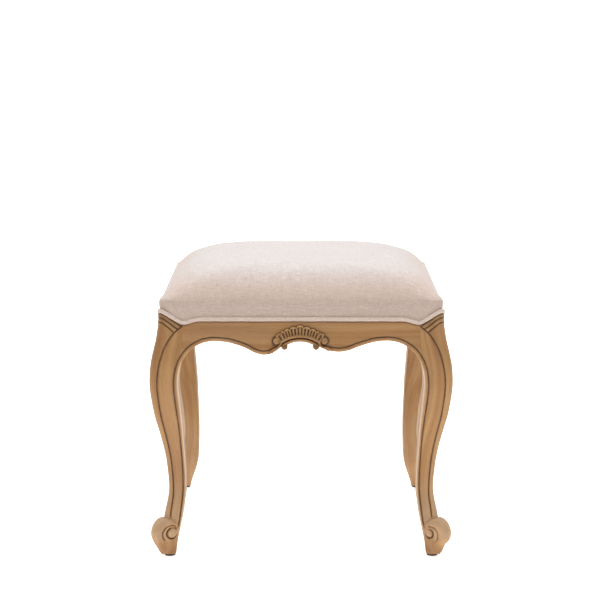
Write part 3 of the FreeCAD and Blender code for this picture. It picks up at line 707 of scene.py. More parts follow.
def shell_height():
    """Relief of the shell above the rail's face on a fine grid, and its glaze."""
    st = 0.35
    xs = np.arange(-56.0, 56.01, st)
    zs = np.arange(345.0, 399.01, st)
    X, Z = np.meshgrid(xs, zs, indexing="ij")
    P = np.stack([X.ravel(), Z.ravel()], 1)
    H = np.full(X.shape, -3.0)
    D = np.zeros(X.shape)

    def top(h):
        np.maximum(H, h, out=H)

    # the fan: lobes about one centre, each an arched rim round one or two flutes
    cz = 319.5
    rr = np.hypot(X, Z - cz)
    th = np.degrees(np.arctan2(X, Z - cz))
    for c, half, end, flutes in ((0.0, 4.7, 73.2, 2), (9.5, 4.9, 71.6, 2), (18.3, 3.9, 70.9, 2), (24.9, 2.7, 70.0, 1), (30.9, 3.3, 69.4, 1)):
        for s in ((1, -1) if c else (1,)):
            u = np.clip((th - s * c) / half, -1, 1)
            on = np.abs(th - s * c) < half
            cap = 3.8 if flutes == 2 else 2.8
            e = end - cap * (1 - np.sqrt(np.clip(1 - u * u, 0, 1))) - rr
            flute = np.sin(np.pi * np.abs(u)) ** 2 if flutes == 2 else np.cos(np.pi * u / 2) ** 2
            flute = flute * smooth01((e - 1.6) / 1.4) * smooth01((rr - 56.8) / 1.6)
            h = 5.3 - 0.05 * (rr - 57.0) - (2.6 if flutes == 2 else 2.2) * flute - 0.9 * np.abs(u) ** 7
            h = np.minimum(h, 0.3 + 5.4 * np.sqrt(np.clip(e / 2.0, 0, 1)))
            on &= (e > 0) & (rr > 52.0)
            top(np.where(on, h, -3.0))
            D[on] = np.maximum(D, flute ** 1.6)[on]
    # a low band under the flutes, a groove, and the arch's bead
    fan = np.abs(th) < 33.5
    H[fan & (rr < 53.8)] = np.where(rr > 46.9, 1.4, -3.0)[fan & (rr < 53.8)]
    D[fan & (rr > 51.2) & (rr < 54.0)] = 1.0
    for m, w, lift in ((55.3, 1.9, 4.7), (49.3, 2.5, 6.0)):
        q = np.clip(1 - ((rr - m) / w) ** 2, 0, 1)
        top(np.where((q > 0) & fan, lift * (0.3 + 0.7 * np.sqrt(q)), -3.0))
    for s in (-1, 1):
        # button at the end, and a band that runs round it into the rail's bead
        r = np.hypot(X - (39.2 if s > 0 else -38.0), Z - 367.5)
        top(np.where(r < 7.6, 0.7, -3.0))
        top(np.where(r < 5.2, 2.4 + 3.6 * np.sqrt(np.clip(1 - (r / 5.3) ** 2, 0, 1)), -3.0))
        D[(r > 5.0) & (r < 7.6)] = 1.0
        line = [(37.4, 376.6), (35.8, 372.6), (32.8, 369.2), (31.2, 365.2), (31.8, 361.2), (34.6, 358.0), (39.6, 355.6), (46.0, 352.5), (54.0, 351.0)]
        line = smooth_path([(s * x, z + float(hand_cut(np.array(s * x))) * (x > 36)) for x, z in line])
        d, _ = distance(P, line)
        d = d.reshape(X.shape)
        w = (1.9 + 1.1 * smooth01((np.abs(X) - 38.0) / 8.0)) * (1 - 0.9 * smooth01((np.abs(X) - 44.0) / 10.0))
        live = smooth01((55.0 - np.abs(X)) / 11.0)
        top(np.where(d < w, (1.8 + 2.9 * np.sqrt(np.clip(1 - (d / w) ** 2, 0, 1))) * live - 0.6 * (1 - live), -3.0))
        D[d < w] *= 0.25
        # curl that hangs under the end of the arch
        r = np.hypot(X - (25.7 if s > 0 else -25.0), Z - 358.6)
        d, _ = distance(P, np.array([(s * 26.4, 360.0), (s * 31.0, 363.0)]))
        d = d.reshape(X.shape)
        top(np.where(d < 3.0, 1.6 + 1.6 * np.sqrt(np.clip(1 - (d / 3.0) ** 2, 0, 1)), -3.0))
        top(np.where(r < 5.2, 2.2 + 3.8 * np.sqrt(np.clip(1 - (r / 5.3) ** 2, 0, 1)), -3.0))
        D[r < 5.6] = np.maximum(D, 0.5)[r < 5.6]
    return xs - 1.7, zs, H, D


def blur(a, sigma):
    n = int(3 * sigma) + 1
    k = np.exp(-0.5 * (np.arange(-n, n + 1) / sigma) ** 2)
    k /= k.sum()
    p = np.pad(a, ((n, n), (n, n)), mode="edge")
    p = np.apply_along_axis(lambda r: np.convolve(r, k, mode="valid"), 0, p)
    return np.apply_along_axis(lambda r: np.convolve(r, k, mode="valid"), 1, p)


def shell_shadow(x, z):
    """Painted shadow and glaze on the rail round the shell's outline."""
    i = int(np.clip((x - SHELL_X[0]) / (SHELL_X[1] - SHELL_X[0]), 0, len(SHELL_X) - 1))
    if abs(x) > 55.0:
        return np.zeros_like(z)
    return np.clip(1.7 * np.interp(z, SHELL_Z, SHELL_SOFT[i]), 0, 0.95)


def build_shell():
    xs, zs, H, D = SHELL_X, SHELL_Z, SHELL_H, SHELL_D
    inside = H > -0.2
    BACK = 3.0
    idx = {}
    verts, faces = [], []
    nx, nz = H.shape
    cell = inside[:-1, :-1] & inside[1:, :-1] & inside[1:, 1:] & inside[:-1, 1:]
    yf = -HALF_D + f_out(zs)

    def vid(i, j, back):
        key = (i, j, back)
        if key not in idx:
            idx[key] = len(verts)
            verts.append((xs[i], yf[j] + (BACK if back else -max(H[i, j], -0.2)), zs[j]))
        return idx[key]
    for i in range(nx - 1):
        for j in range(nz - 1):
            if not cell[i, j]:
                continue
            c = [(i, j), (i + 1, j), (i + 1, j + 1), (i, j + 1)]
            faces.append([vid(a, b, 0) for a, b in c])
            faces.append([vid(a, b, 1) for a, b in c][::-1])
            for k, (di, dj) in enumerate(((0, -1), (1, 0), (0, 1), (-1, 0))):
                ii, jj = i + di, j + dj
                if ii < 0 or jj < 0 or ii >= nx - 1 or jj >= nz - 1 or not cell[ii, jj]:
                    a, b = c[k], c[(k + 1) % 4]
                    faces.append([vid(*b, 0), vid(*a, 0), vid(*a, 1), vid(*b, 1)])
    obj = make_object("shell_carving_relief", np.array(verts) * MM, faces)
    outward(obj)
    rem = obj.modifiers.new("remesh", "REMESH")
    rem.mode = "VOXEL"
    rem.voxel_size = 0.00042
    rem.use_smooth_shade = True
    sm = obj.modifiers.new("soften", "SMOOTH")
    sm.factor = 0.5
    sm.iterations = 2
    done = bpy.data.meshes.new_from_object(obj.evaluated_get(bpy.context.evaluated_depsgraph_get()))
    old = obj.data
    obj.modifiers.clear()
    obj.data = done
    bpy.data.meshes.remove(old)
    co = np.zeros(len(done.vertices) * 3)
    done.vertices.foreach_get("co", co)
    co = co.reshape(-1, 3) / MM
    # glaze sits in the flutes and where the relief is lower than its surroundings; rims are rubbed
    full = np.where(inside, np.maximum(H, 0.0), 0.0)
    around = blur(full, 4.2)
    hollow = np.clip(np.maximum(np.clip((around - full) / 0.9, 0, 1), 0.86 * blur(D, 0.8)) + 0.30, 0, 1)
    rim = np.clip((full - around) / 0.8, 0, 1)
    hollow = hollow * (1 - rim) + np.maximum(0.08, 0.7 * D * (D < 0.6)) * rim
    gi = np.clip((co[:, 0] - xs[0]) / (xs[1] - xs[0]), 0, nx - 1.001)
    gj = np.clip((co[:, 2] - zs[0]) / (zs[1] - zs[0]), 0, nz - 1.001)
    i0, j0 = gi.astype(int), gj.astype(int)
    fi, fj = gi - i0, gj - j0
    dark = (hollow[i0, j0] * (1 - fi) * (1 - fj) + hollow[i0 + 1, j0] * fi * (1 - fj)
            + hollow[i0, j0 + 1] * (1 - fi) * fj + hollow[i0 + 1, j0 + 1] * fi * fj)
    face_y = -HALF_D + f_out(co[:, 2])
    # darkest where the relief meets the rail's face: glaze and painted shade
    dark = np.maximum(dark, smooth01((co[:, 1] - face_y + 1.6) / 2.2))
    a = done.attributes.new("glaze_and_painted_light", "FLOAT", "POINT")
    a.data.foreach_set("value", dark.astype(np.float32))
    grain = np.stack([co[:, 0] * MM + 2.2, co[:, 1] * MM, co[:, 2] * MM], 1).astype(np.float32)
    a = done.attributes.new("grain", "FLOAT_VECTOR", "POINT")
    a.data.foreach_set("vector", grain.ravel())
    done.polygons.foreach_set("use_smooth", np.ones(len(done.polygons), dtype=bool))
    obj.name = "shell_carving_relief"
    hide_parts("shell_carving")
    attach(obj, "root")
    return obj


SHELL_X, SHELL_Z, SHELL_H, SHELL_D = shell_height()
SHELL_SOFT = blur((SHELL_H > -0.2).astype(float), 4.0)
pieces["shell_carving"] = build_shell()
add_rail("front_rail", *rail_mesh(FRONT_FN, HALF_W - POST_A, HALF_D, True), 0.0, 5.3)
add_rail("rear_rail", *rail_mesh(REAR_FN, HALF_W - POST_A, HALF_D, False), math.pi, 7.9)
_side = rail_mesh(SIDE_FN, HALF_D - POST_A, HALF_W, False)
add_rail("left_rail", *_side, -math.pi / 2, 9.1)
add_rail("right_rail", *_side, math.pi / 2, 11.7)




# ------------------------------------------------------------------ cushion
# side and crown of the seat: distance inwards from the knee planes, and height
CROWN = [(19.2, 398.6), (17.4, 402.4), (16.5, 405.6), (15.9, 410.5), (15.6, 418.0), (16.3, 428.0),
         (18.6, 434.6), (22.2, 440.2), (27.0, 446.0), (33.5, 452.0), (43.0, 458.6), (57.0, 466.8),
         (73.0, 474.2), (92.0, 478.6), (115.0, 480.4), (142.0, 481.6)]
PULL, DROOP = 0.9, 9.6                                     # sides drawn in, corners of the crown lower
NX, NY = 76, 66                                             # cells of the crown's grid
WALL, LOOPS = 10, 22


def crown_rows():
    """The crown's line as evenly spaced points, and their distance along it."""
    p = np.array(CROWN)
    s = np.concatenate([[0], np.cumsum(np.hypot(*np.diff(p, axis=0).T))])
    fa, fz = curve(list(zip(s, p[:, 0])), 2.0), curve(list(zip(s, p[:, 1])), 2.0)
    top = s[8]
    u = np.concatenate([np.linspace(0, top, WALL + 1), np.linspace(top, s[-1], LOOPS + 1)[1:]])
    return fa(u), fz(u), s[-1] - u


def corner_radius(a, z=480.0):
    """Corner in plan: as tight as the piping's at the foot, fuller above."""
    foot = 1 - smooth01((z - 404.0) / 40.0)
    return np.minimum(22.6 + 1.05 * (a - 16.0), 0.95 * (HALF_D - a)) * (1 - foot) + 9.0 * foot


def settle(p, a, z):
    """Points of one loop: the sides pull in between the corners, and the crown falls off towards them."""
    x, y = p[:, 0], p[:, 1]
    ax, ay = HALF_W - np.abs(x), HALF_D - np.abs(y)
    w = PULL * smooth01((np.maximum(ax, ay) - a - 8.0) / 50.0) * smooth01((z - 402.0) / 14.0) * (1 - smooth01((z - 440.0) / 24.0))
    x, y = np.where(ax < ay, x - np.sign(x) * w, x), np.where(ax < ay, y, y - np.sign(y) * w)
    # rear corners softer at the shoulder, front corners a little fuller below it
    corner = smooth01((np.abs(x) - HALF_W + 84.0) / 60.0) * smooth01((np.abs(y) - HALF_D + 84.0) / 60.0)
    shape = np.where(y > 0, -4.0 * np.exp(-((z - 452.0) / 13.0) ** 2), 2.0 * np.exp(-((z - 431.0) / 13.0) ** 2)) * corner
    x, y = x + np.sign(x) * shape, y + np.sign(y) * shape
    rho = np.hypot(np.maximum(0, np.abs(x) - 120.0), np.maximum(0, np.abs(y) - 90.0)) / 110.0
    fall = DROOP * smooth01((rho - 0.6) / 0.8) * smooth01((z - 425.0) / 40.0)
    fall = fall + 8.5 * smooth01((np.abs(x) - HALF_W + 84.0) / 60.0) * smooth01((y - HALF_D + 110.0) / 70.0) * smooth01((z - 420.0) / 26.0)
    rise = pipe_lift(x, y) * (1 - smooth01((z - 398.0) / 52.0))
    return np.column_stack([x, y, z - fall + rise])


def ring(hx, hy, r, nx, ny):
    """Points of a rounded rectangle, nx steps on the long sides and ny on the short
    ones, from the front left corner's middle round by the front right."""
    pts = []
    for along, across, n, turn in ((hx, hy, nx, 0), (hy, hx, ny, 1), (hx, hy, nx, 2), (hy, hx, ny, 3)):
        q = r * np.pi / 4
        flat = 2 * (along - r)
        for k in range(n):
            s = (flat + 2 * q) * k / n
            if s < q:
                t = np.pi / 4 - s / r
                x, y = -along + r - r * np.sin(t), -across + r - r * np.cos(t)
            elif s > q + flat:
                t = (s - q - flat) / r
                x, y = along - r + r * np.sin(t), -across + r - r * np.cos(t)
            else:
                x, y = -along + r + s - q, -across
            pts.append([(x, y), (-y, x), (-x, -y), (y, -x)][turn])
    return np.array(pts)


def piping_level(x, y):
    """Height of the piping's middle over rails and leg tops, softened at the dips."""
    ax, ay = HALF_W - np.abs(x), HALF_D - np.abs(y)
    along, half = np.where(ax < ay, np.abs(y), np.abs(x)), np.where(ax < ay, HALF_D - POST_A, HALF_W - POST_A)
    rail = RAIL_TOP - (RAIL_TOP - RAIL_DIP) * smooth01((along - (half - 28.0)) / 28.0)
    ear = RAIL_DIP + PIPE_SLOPE * np.maximum(0.0, EAR_SUM - 0.6 - ax - ay)
    lean = np.where(EAR_SUM - ax - ay > 0, math.sqrt(1 + 2 * EAR_SLOPE ** 2), 1.0)
    return np.maximum(rail * (along < half + 2), ear) + PIPE_R * lean + 0.1


PIPE_R, PIPE_A, PIPE_CORNER, PIPE_SLOPE = 3.5, 16.8, 9.0, 0.63


def pipe_path(step=2.2):
    """The piping's middle line, closed, and the height above the rails' own line."""
    hx, hy = HALF_W - PIPE_A, HALF_D - PIPE_A
    p = ring(hx, hy, PIPE_CORNER, int(2 * hx / step), int(2 * hy / step))
    z = piping_level(p[:, 0], p[:, 1])
    for _ in range(3):
        z = (np.roll(z, 1) + 2 * z + np.roll(z, -1)) / 4
    return np.column_stack([p, z])


PIPE = pipe_path()
PIPE_ANGLE = np.arctan2(PIPE[:, 1] / HALF_D, PIPE[:, 0] / HALF_W)
_order = np.argsort(PIPE_ANGLE)


def pipe_lift(x, y):
    """How far the piping stands above its level on the rails, by direction."""
    t = np.arctan2(y / HALF_D, x / HALF_W)
    a, z = PIPE_ANGLE[_order], PIPE[_order, 2]
    return np.interp(t, np.concatenate([a - 2 * np.pi, a, a + 2 * np.pi]), np.concatenate([z, z, z])) - (RAIL_TOP + PIPE_R + 0.1)


def cushion_grid():
    """Vertices (mm), faces and cloth coordinates of the cover's top and sides."""
    a, z, run = crown_rows()
    core = 142.0
    verts, cloth = [], []

    def flat(k, nx, ny):
        # the same place on the cloth before it was pulled down
        return ring(HALF_W - core + run[k], HALF_D - core + run[k], corner_radius(core) * 0.6 + 0.4 * run[k], nx, ny)
    for k in range(WALL):
        p = ring(HALF_W - a[k], HALF_D - a[k], corner_radius(a[k], z[k]), NX, NY)
        verts += [tuple(q) for q in settle(p, a[k], z[k])]
        cloth += [tuple(q) for q in flat(k, NX, NY)]
    base = len(verts)
    n_ring = 2 * (NX + NY)
    grid = np.full((NX + 1, NY + 1), -1)
    loop0 = ([(i, 0) for i in range(NX)] + [(NX, j) for j in range(NY)]
             + [(NX - i, NY) for i in range(NX)] + [(0, NY - j) for j in range(NY)])
    last = None
    for k in range(LOOPS + 1):
        nx, ny = NX - 2 * k, NY - 2 * k
        r = WALL + k
        p = ring(HALF_W - a[r], HALF_D - a[r], corner_radius(a[r], z[r]), nx, ny)
        f = flat(r, nx, ny)
        cells = ([(i, 0) for i in range(nx)] + [(nx, j) for j in range(ny)]
                 + [(nx - i, ny) for i in range(nx)] + [(0, ny - j) for j in range(ny)])
        for (i, j), at, q in zip(cells, settle(p, a[r], z[r]), f):
            grid[i + k, j + k] = len(verts)
            verts.append(tuple(at))
            cloth.append(tuple(q))
        last = (k, nx, ny)
    # the middle, spanned between the sides of the last loop
    k, nx, ny = last
    V, C = np.array(verts), np.array(cloth)

    def coons(src, i, j):
        u, v = i / nx, j / ny
        g = lambda ii, jj: src[grid[ii + k, jj + k]]
        return ((1 - v) * g(i, 0) + v * g(i, ny) + (1 - u) * g(0, j) + u * g(nx, j)
                - (1 - u) * (1 - v) * g(0, 0) - u * (1 - v) * g(nx, 0) - (1 - u) * v * g(0, ny) - u * v * g(nx, ny))
    for i in range(1, nx):
        for j in range(1, ny):
            grid[i + k, j + k] = len(verts)
            x, y, zz = coons(V, i, j)
            verts.append((x, y, zz + 0.5 * math.sin(math.pi * i / nx) * math.sin(math.pi * j / ny)))
            cloth.append(tuple(coons(C, i, j)))
    faces = []
    for k in range(WALL):
        for c in range(n_ring):
            d = (c + 1) % n_ring
            lo, hi = k * n_ring, (k + 1) * n_ring
            if k == WALL - 1:
                faces.append((lo + c, lo + d, grid[loop0[d]], grid[loop0[c]]))
            else:
                faces.append((lo + c, lo + d, hi + d, hi + c))
    for i in range(NX):
        for j in range(NY):
            faces.append((grid[i, j], grid[i + 1, j], grid[i + 1, j + 1], grid[i, j + 1]))
    return np.array(verts), [tuple(int(v) for v in f) for f in faces], np.array(cloth), n_ring


def vertex_normals(verts, faces):
    n = np.zeros_like(verts)
    f = np.array([q for q in faces if len(q) == 4])
    fn = np.cross(verts[f[:, 2]] - verts[f[:, 0]], verts[f[:, 3]] - verts[f[:, 1]])
    for c in range(4):
        np.add.at(n, f[:, c], fn)
    return n / (np.linalg.norm(n, axis=1)[:, None] + 1e-12)


def swell(verts, faces, n_ring):
    """Fill the cover by cloth simulation: it starts a little slack and is blown up."""
    n = vertex_normals(verts, faces)
    free = smooth01((verts[:, 2] - 402.0) / 26.0)
    x, y = verts[:, 0], verts[:, 1]
    uneven = (0.55 * np.sin(x / 61.0 + 1.1) * np.sin(y / 47.0 + 0.4) + 0.35 * np.sin(x / 29.0 - y / 37.0 + 2.0)
              + 0.3 * np.sin(x / 83.0 + y / 21.0))
    start = verts - n * ((2.6 - uneven) * free)[:, None]
    obj = make_object("cover_blank", start * MM, list(faces) + [tuple(range(n_ring))[::-1]])
    pin = obj.vertex_groups.new(name="held")
    low = [int(k) for k in np.nonzero(free < 1e-4)[0]]
    pin.add(low, 1.0, "REPLACE")
    edge = [int(k) for k in np.nonzero((free >= 1e-4) & (free < 0.35))[0]]
    pin.add(edge, 0.6, "REPLACE")
    mod = obj.modifiers.new("fill", "CLOTH")
    c = mod.settings
    c.quality = 5
    c.mass = 0.25
    c.tension_stiffness = c.compression_stiffness = 18.0
    c.shear_stiffness = 6.0
    c.bending_stiffness = 2.5
    c.use_pressure = True
    c.uniform_pressure_force = 3.6
    c.vertex_group_mass = "held"
    c.pin_stiffness = 1.0
    c.effector_weights.gravity = 0.0
    mod.point_cache.frame_start, mod.point_cache.frame_end = 1, 20
    scene = bpy.context.scene
    for f in range(1, 21):
        scene.frame_set(f)
    ev = obj.evaluated_get(bpy.context.evaluated_depsgraph_get())
    out = np.zeros(len(verts) * 3)
    ev.data.vertices.foreach_get("co", out)
    out = out.reshape(-1, 3) / MM
    scene.frame_set(1)
    mesh = obj.data
    bpy.data.objects.remove(obj)
    bpy.data.meshes.remove(mesh)
    move = out - start
    far = np.linalg.norm(move, axis=1)
    move *= np.minimum(1.0, 4.2 / np.maximum(far, 1e-6))[:, None] * free[:, None]
    # the filled cover stays within 1.3 mm of the seat's line
    off = start + move - verts
    return verts + off * np.minimum(1.0, 1.3 / np.maximum(np.linalg.norm(off, axis=1), 1e-6))[:, None]


def fill_ring(verts, cloth, faces, ids, nx, ny):
    """Close a ring of nx and ny steps with a grid between its sides."""
    at = {}
    cells = ([(i, 0) for i in range(nx)] + [(nx, j) for j in range(ny)]
             + [(nx - i, ny) for i in range(nx)] + [(0, ny - j) for j in range(ny)])
    for c, k in zip(cells, ids):
        at[c] = k
    P = {c: np.array(tuple(verts[k]) + tuple(cloth[k])) for c, k in at.items()}
    for i in range(1, nx):
        for j in range(1, ny):
            u, v = i / nx, j / ny
            q = ((1 - v) * P[i, 0] + v * P[i, ny] + (1 - u) * P[0, j] + u * P[nx, j] - (1 - u) * (1 - v) * P[0, 0]
                 - u * (1 - v) * P[nx, 0] - (1 - u) * v * P[0, ny] - u * v * P[nx, ny])
            at[i, j] = len(verts)
            verts.append(tuple(q[:3]))
            cloth.append(tuple(q[3:]))
    for i in range(nx):
        for j in range(ny):
            faces.append((at[i, j], at[i, j + 1], at[i + 1, j + 1], at[i + 1, j]))


def build_cushion():
    verts, faces, cloth, n_ring = cushion_grid()
    verts = swell(verts, faces, n_ring)
    verts, cloth, faces = list(map(tuple, verts)), list(map(tuple, cloth)), list(faces)
    # turned under the seat: a flat underside that rises over the leg tops
    prev = list(range(n_ring))
    for a in (24.0, 30.0, 38.0, 50.0):
        p = ring(HALF_W - a, HALF_D - a, 10.0 + 0.5 * (a - 21.0), NX, NY)
        row = []
        for x, y in p:
            ax, ay = HALF_W - abs(x), HALF_D - abs(y)
            z = max(RAIL_TOP + 0.35, float(ear_top(ax, ay)) + 0.4)
            row.append(len(verts))
            verts.append((x, y, z))
            cloth.append((x * 0.001 + 400.0, y))
        for c in range(n_ring):
            d = (c + 1) % n_ring
            faces.append((prev[d], prev[c], row[c], row[d]))
        prev = row
    fill_ring(verts, cloth, faces, prev, NX, NY)
    cloth = np.column_stack([np.array(cloth), np.zeros(len(cloth))]) * MM
    side = smooth01((481.0 - np.array(verts)[:, 2]) / 37.0)    # painted light: the top paler and cooler, the sides darker and warmer
    obj = make_object("linen_cover_filled", np.array(verts) * MM, faces, attrs={"weave": cloth, "side": side})
    outward(obj)
    sub = obj.modifiers.new("fine", "SUBSURF")
    sub.levels = sub.render_levels = 1
    done = bpy.data.meshes.new_from_object(obj.evaluated_get(bpy.context.evaluated_depsgraph_get()))
    old = obj.data
    obj.modifiers.clear()
    obj.data = done
    bpy.data.meshes.remove(old)
    done.polygons.foreach_set("use_smooth", np.ones(len(done.polygons), dtype=bool))
    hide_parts("linen_cover", "foam_pad", "wadding")
    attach(obj, "root")
    return obj


pieces["linen_cover"] = build_cushion()


# ------------------------------------------------------------------ piping
def build_piping():
    path = PIPE
    n, sides = len(path), 18
    t = np.roll(path, -1, 0) - np.roll(path, 1, 0)
    step = np.linalg.norm(np.roll(path, -1, 0) - path, axis=1)
    s = np.concatenate([[0], np.cumsum(step)[:-1]])
    total = step.sum()
    t /= np.linalg.norm(t, axis=1)[:, None]
    out = np.stack([t[:, 1], -t[:, 0], np.zeros(n)], 1)
    out /= np.linalg.norm(out, axis=1)[:, None]
    up = np.cross(out, t)
    verts, weave, side = [], [], []
    for k in range(n):
        w = s[k] / total * 2 * np.pi
        r = PIPE_R * (1 + 0.018 * math.sin(37 * w) + 0.014 * math.sin(83 * w + 1.0))
        sway = 0.16 * math.sin(23 * w + 0.6) + 0.10 * math.sin(51 * w)
        for j in range(sides):
            th = 2 * np.pi * j / sides
            d = out[k] * math.cos(th) + up[k] * math.sin(th)
            verts.append(path[k] + d * r + out[k] * sway)
            weave.append((s[k], (th / (2 * np.pi)) * 2 * np.pi * PIPE_R, 0.0))
            # painted shade on the piping's underside
            side.append(float(smooth01(0.25 - math.sin(th))))
    faces = loft_faces(n + 1, sides)
    faces = [tuple(v % (n * sides) for v in f) for f in faces]
    obj = make_object("piping_sewn", np.array(verts) * MM, faces, attrs={"weave": np.array(weave) * MM, "side": np.array(side)})
    outward(obj)
    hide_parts("piping")
    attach(obj, "root")
    return obj


pieces["piping"] = build_piping()


# ------------------------------------------------------------------ dust cover
def build_dust_cover():
    hx, hy, clip = 203.0, 172.0, 44.0
    nx, ny = 92, 78
    up, low, weave = [], [], []
    for j in range(ny + 1):
        y = -hy + 2 * hy * j / ny
        hw = hx - max(0.0, abs(y) - (hy - clip))
        for i in range(nx + 1):
            x = hw * (2 * i / nx - 1)
            e = min(hw - abs(x), hy - abs(y))
            sag = 1.3 * smooth01(e / 90.0) * smooth01((190.0 - abs(x)) / 60.0)
            pull = 0.22 * math.exp(-e / 16.0) * math.sin(x * 2 * math.pi / 43.0 if hy - abs(y) < hw - abs(x) else y * 2 * math.pi / 43.0)
            ripple = 0.3 * smooth01(e / 40.0) * (math.sin(x / 19.0 + y / 41.0) * math.sin(y / 23.0 - x / 67.0))
            z = 397.35 - sag + pull * 0.6 + ripple * 0.6
            block = abs(x) + abs(y) - (HALF_W - 100.0 + HALF_D - 40.0) > -6.0
            z = max(z, 396.9) if block or e < 10.0 else z
            up.append((x, y, z + 0.3))
            low.append((x, y, z - 0.3))
            weave.append((x, y, 0.0))
    n = len(up)
    faces = []
    for j in range(ny):
        for i in range(nx):
            a = j * (nx + 1) + i
            q = (a, a + 1, a + nx + 2, a + nx + 1)
            faces.append(q)
            faces.append(tuple(v + n for v in q[::-1]))
    rim = ([i for i in range(nx)] + [j * (nx + 1) + nx for j in range(ny)]
           + [ny * (nx + 1) + nx - i for i in range(nx)] + [(ny - j) * (nx + 1) for j in range(ny)])
    for k in range(len(rim)):
        a, b = rim[k], rim[(k + 1) % len(rim)]
        faces.append((b, a, a + n, b + n))
    obj = make_object("dust_cover_stretched", np.array(up + low) * MM, faces, attrs={"weave": np.array(weave + weave) * MM})
    outward(obj)
    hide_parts("dust_cover")
    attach(obj, "root")
    return obj


pieces["dust_cover"] = build_dust_cover()


# ------------------------------------------------------------------ finish of each surface
class Nodes:
    """A material under construction."""

    def __init__(self, name):
        self.mat = bpy.data.materials.new(name)
        self.mat.use_nodes = True
        self.tree = self.mat.node_tree
        self.tree.nodes.clear()
        self.out = self.tree.nodes.new("ShaderNodeOutputMaterial")
        self.bsdf = self.tree.nodes.new("ShaderNodeBsdfPrincipled")
        self.tree.links.new(self.bsdf.outputs[0], self.out.inputs["Surface"])

    def put(self, socket, value):
        if hasattr(value, "is_output"):
            self.tree.links.new(value, socket)
        else:
            socket.default_value = value

    def add(self, kind, out=0, props=None, **inputs):
        node = self.tree.nodes.new("ShaderNode" + kind)
        for k, v in (props or {}).items():
            setattr(node, k, v)
        for k, v in inputs.items():
            key = int(k[1:]) if k[0] == "i" and k[1:].isdigit() else k.replace("_", " ")
            self.put(node.inputs[key], v)
        return node.outputs[out]

    def attr(self, name, out="Vector"):
        node = self.tree.nodes.new("ShaderNodeAttribute")
        node.attribute_name = name
        return node.outputs[out]

    def math(self, op, a, b=0.0, clamp=False):
        return self.add("Math", props={"operation": op, "use_clamp": clamp}, i0=a, i1=b)

    def scaled(self, vec, sx, sy, sz):
        return self.add("VectorMath", props={"operation": "MULTIPLY"}, i0=vec, i1=(sx, sy, sz))

    def noise(self, vec, scale=1.0, detail=2.0, rough=0.5, dist=0.0):
        return self.add("TexNoise", Vector=vec, Scale=scale, Detail=detail, Roughness=rough, Distortion=dist)

    def ramp(self, fac, lo, hi, a=0.0, b=1.0):
        return self.add("MapRange", props={"clamp": True, "interpolation_type": "SMOOTHSTEP"}, Value=fac,
                        From_Min=lo, From_Max=hi, To_Min=a, To_Max=b)

    def mix(self, fac, a, b, how="MIX"):
        node = self.tree.nodes.new("ShaderNodeMix")
        node.data_type = "RGBA"
        node.blend_type = how
        self.put(node.inputs[0], fac)
        self.put(node.inputs[6], a)
        self.put(node.inputs[7], b)
        return node.outputs[2]

    def bump(self, height, distance, strength=1.0, normal=None):
        node = self.tree.nodes.new("ShaderNodeBump")
        node.inputs["Strength"].default_value = strength
        node.inputs["Distance"].default_value = distance
        self.put(node.inputs["Height"], height)
        if normal is not None:
            self.put(node.inputs["Normal"], normal)
        return node.outputs[0]

    def set(self, **values):
        for k, v in values.items():
            self.put(self.bsdf.inputs[k.replace("_", " ")], v)
        return self.mat


def lin(r, g, b):
    f = lambda c: (c / 255 / 12.92) if c <= 10.3 else ((c / 255 + 0.055) / 1.055) ** 2.4
    return (f(r), f(g), f(b), 1.0)


def wood(name, light, dark, glaze_and_painted_light=None, coords=None, tone=1.0):
    """Pale open-grained hardwood; the grain runs along the first coordinate."""
    m = Nodes(name)
    g = m.attr("grain") if coords is None else coords(m)
    warp = m.noise(m.scaled(g, 4.0, 22.0, 22.0), 1.0, 2.0, 0.5)
    bent = m.add("VectorMath", props={"operation": "ADD"}, i0=g, i1=m.add(
        "CombineXYZ", X=0.0, Y=m.math("MULTIPLY", m.math("SUBTRACT", warp, 0.5), 0.016),
        Z=m.math("MULTIPLY", m.math("SUBTRACT", warp, 0.5), 0.012)))
    rings = m.noise(m.scaled(bent, 1.6, 95.0, 70.0), 1.0, 3.0, 0.55)
    fibre = m.noise(m.scaled(bent, 14.0, 620.0, 620.0), 1.0, 3.0, 0.6)
    pores = m.noise(m.scaled(bent, 75.0, 1500.0, 1500.0), 1.0, 1.0, 0.5)
    cloud = m.noise(m.scaled(g, 9.0, 26.0, 26.0), 1.0, 2.0, 0.5)
    col = m.mix(m.ramp(rings, 0.34, 0.68), light, dark)
    col = m.mix(m.ramp(fibre, 0.42, 0.74, 0.0, 0.42), col, dark)
    col = m.mix(m.ramp(cloud, 0.40, 0.70, 0.0, 0.30), col, lin(163, 120, 92))
    pore = m.ramp(pores, 0.62, 0.74)
    col = m.mix(m.math("MULTIPLY", pore, 0.38), col, lin(112, 78, 48))
    rough = m.math("ADD", m.ramp(fibre, 0.3, 0.7, 0.50, 0.60), m.math("MULTIPLY", pore, 0.12))
    if glaze_and_painted_light is not None:
        # above zero: glaze in the grooves and painted shade; below zero: painted light on beads, inner faces and feet
        raw = m.attr("glaze_and_painted_light", "Fac")
        gl = m.math("MAXIMUM", raw, 0.0)
        painted_light = m.math("MULTIPLY", m.math("MAXIMUM", m.math("MULTIPLY", raw, -1.0), 0.0), 0.75)
        col = m.mix(painted_light, col, lin(246, 221, 190))
        patch = m.noise(g, 140.0, 2.0, 0.6)
        fac = m.math("MULTIPLY", m.math("POWER", gl, 0.85), m.ramp(patch, 0.25, 0.7, 0.80, 1.0), True)
        col = m.mix(m.math("MULTIPLY", fac, 0.93), col, glaze_and_painted_light)
        rough = m.math("ADD", rough, m.math("MULTIPLY", fac, 0.06))
    h = m.math("SUBTRACT", m.math("MULTIPLY", fibre, 0.5), pore)
    m.set(Base_Color=col, Roughness=rough, Normal=m.bump(h, 0.00012, 0.55))
    m.bsdf.inputs["Specular IOR Level"].default_value = 0.32
    return m.mat


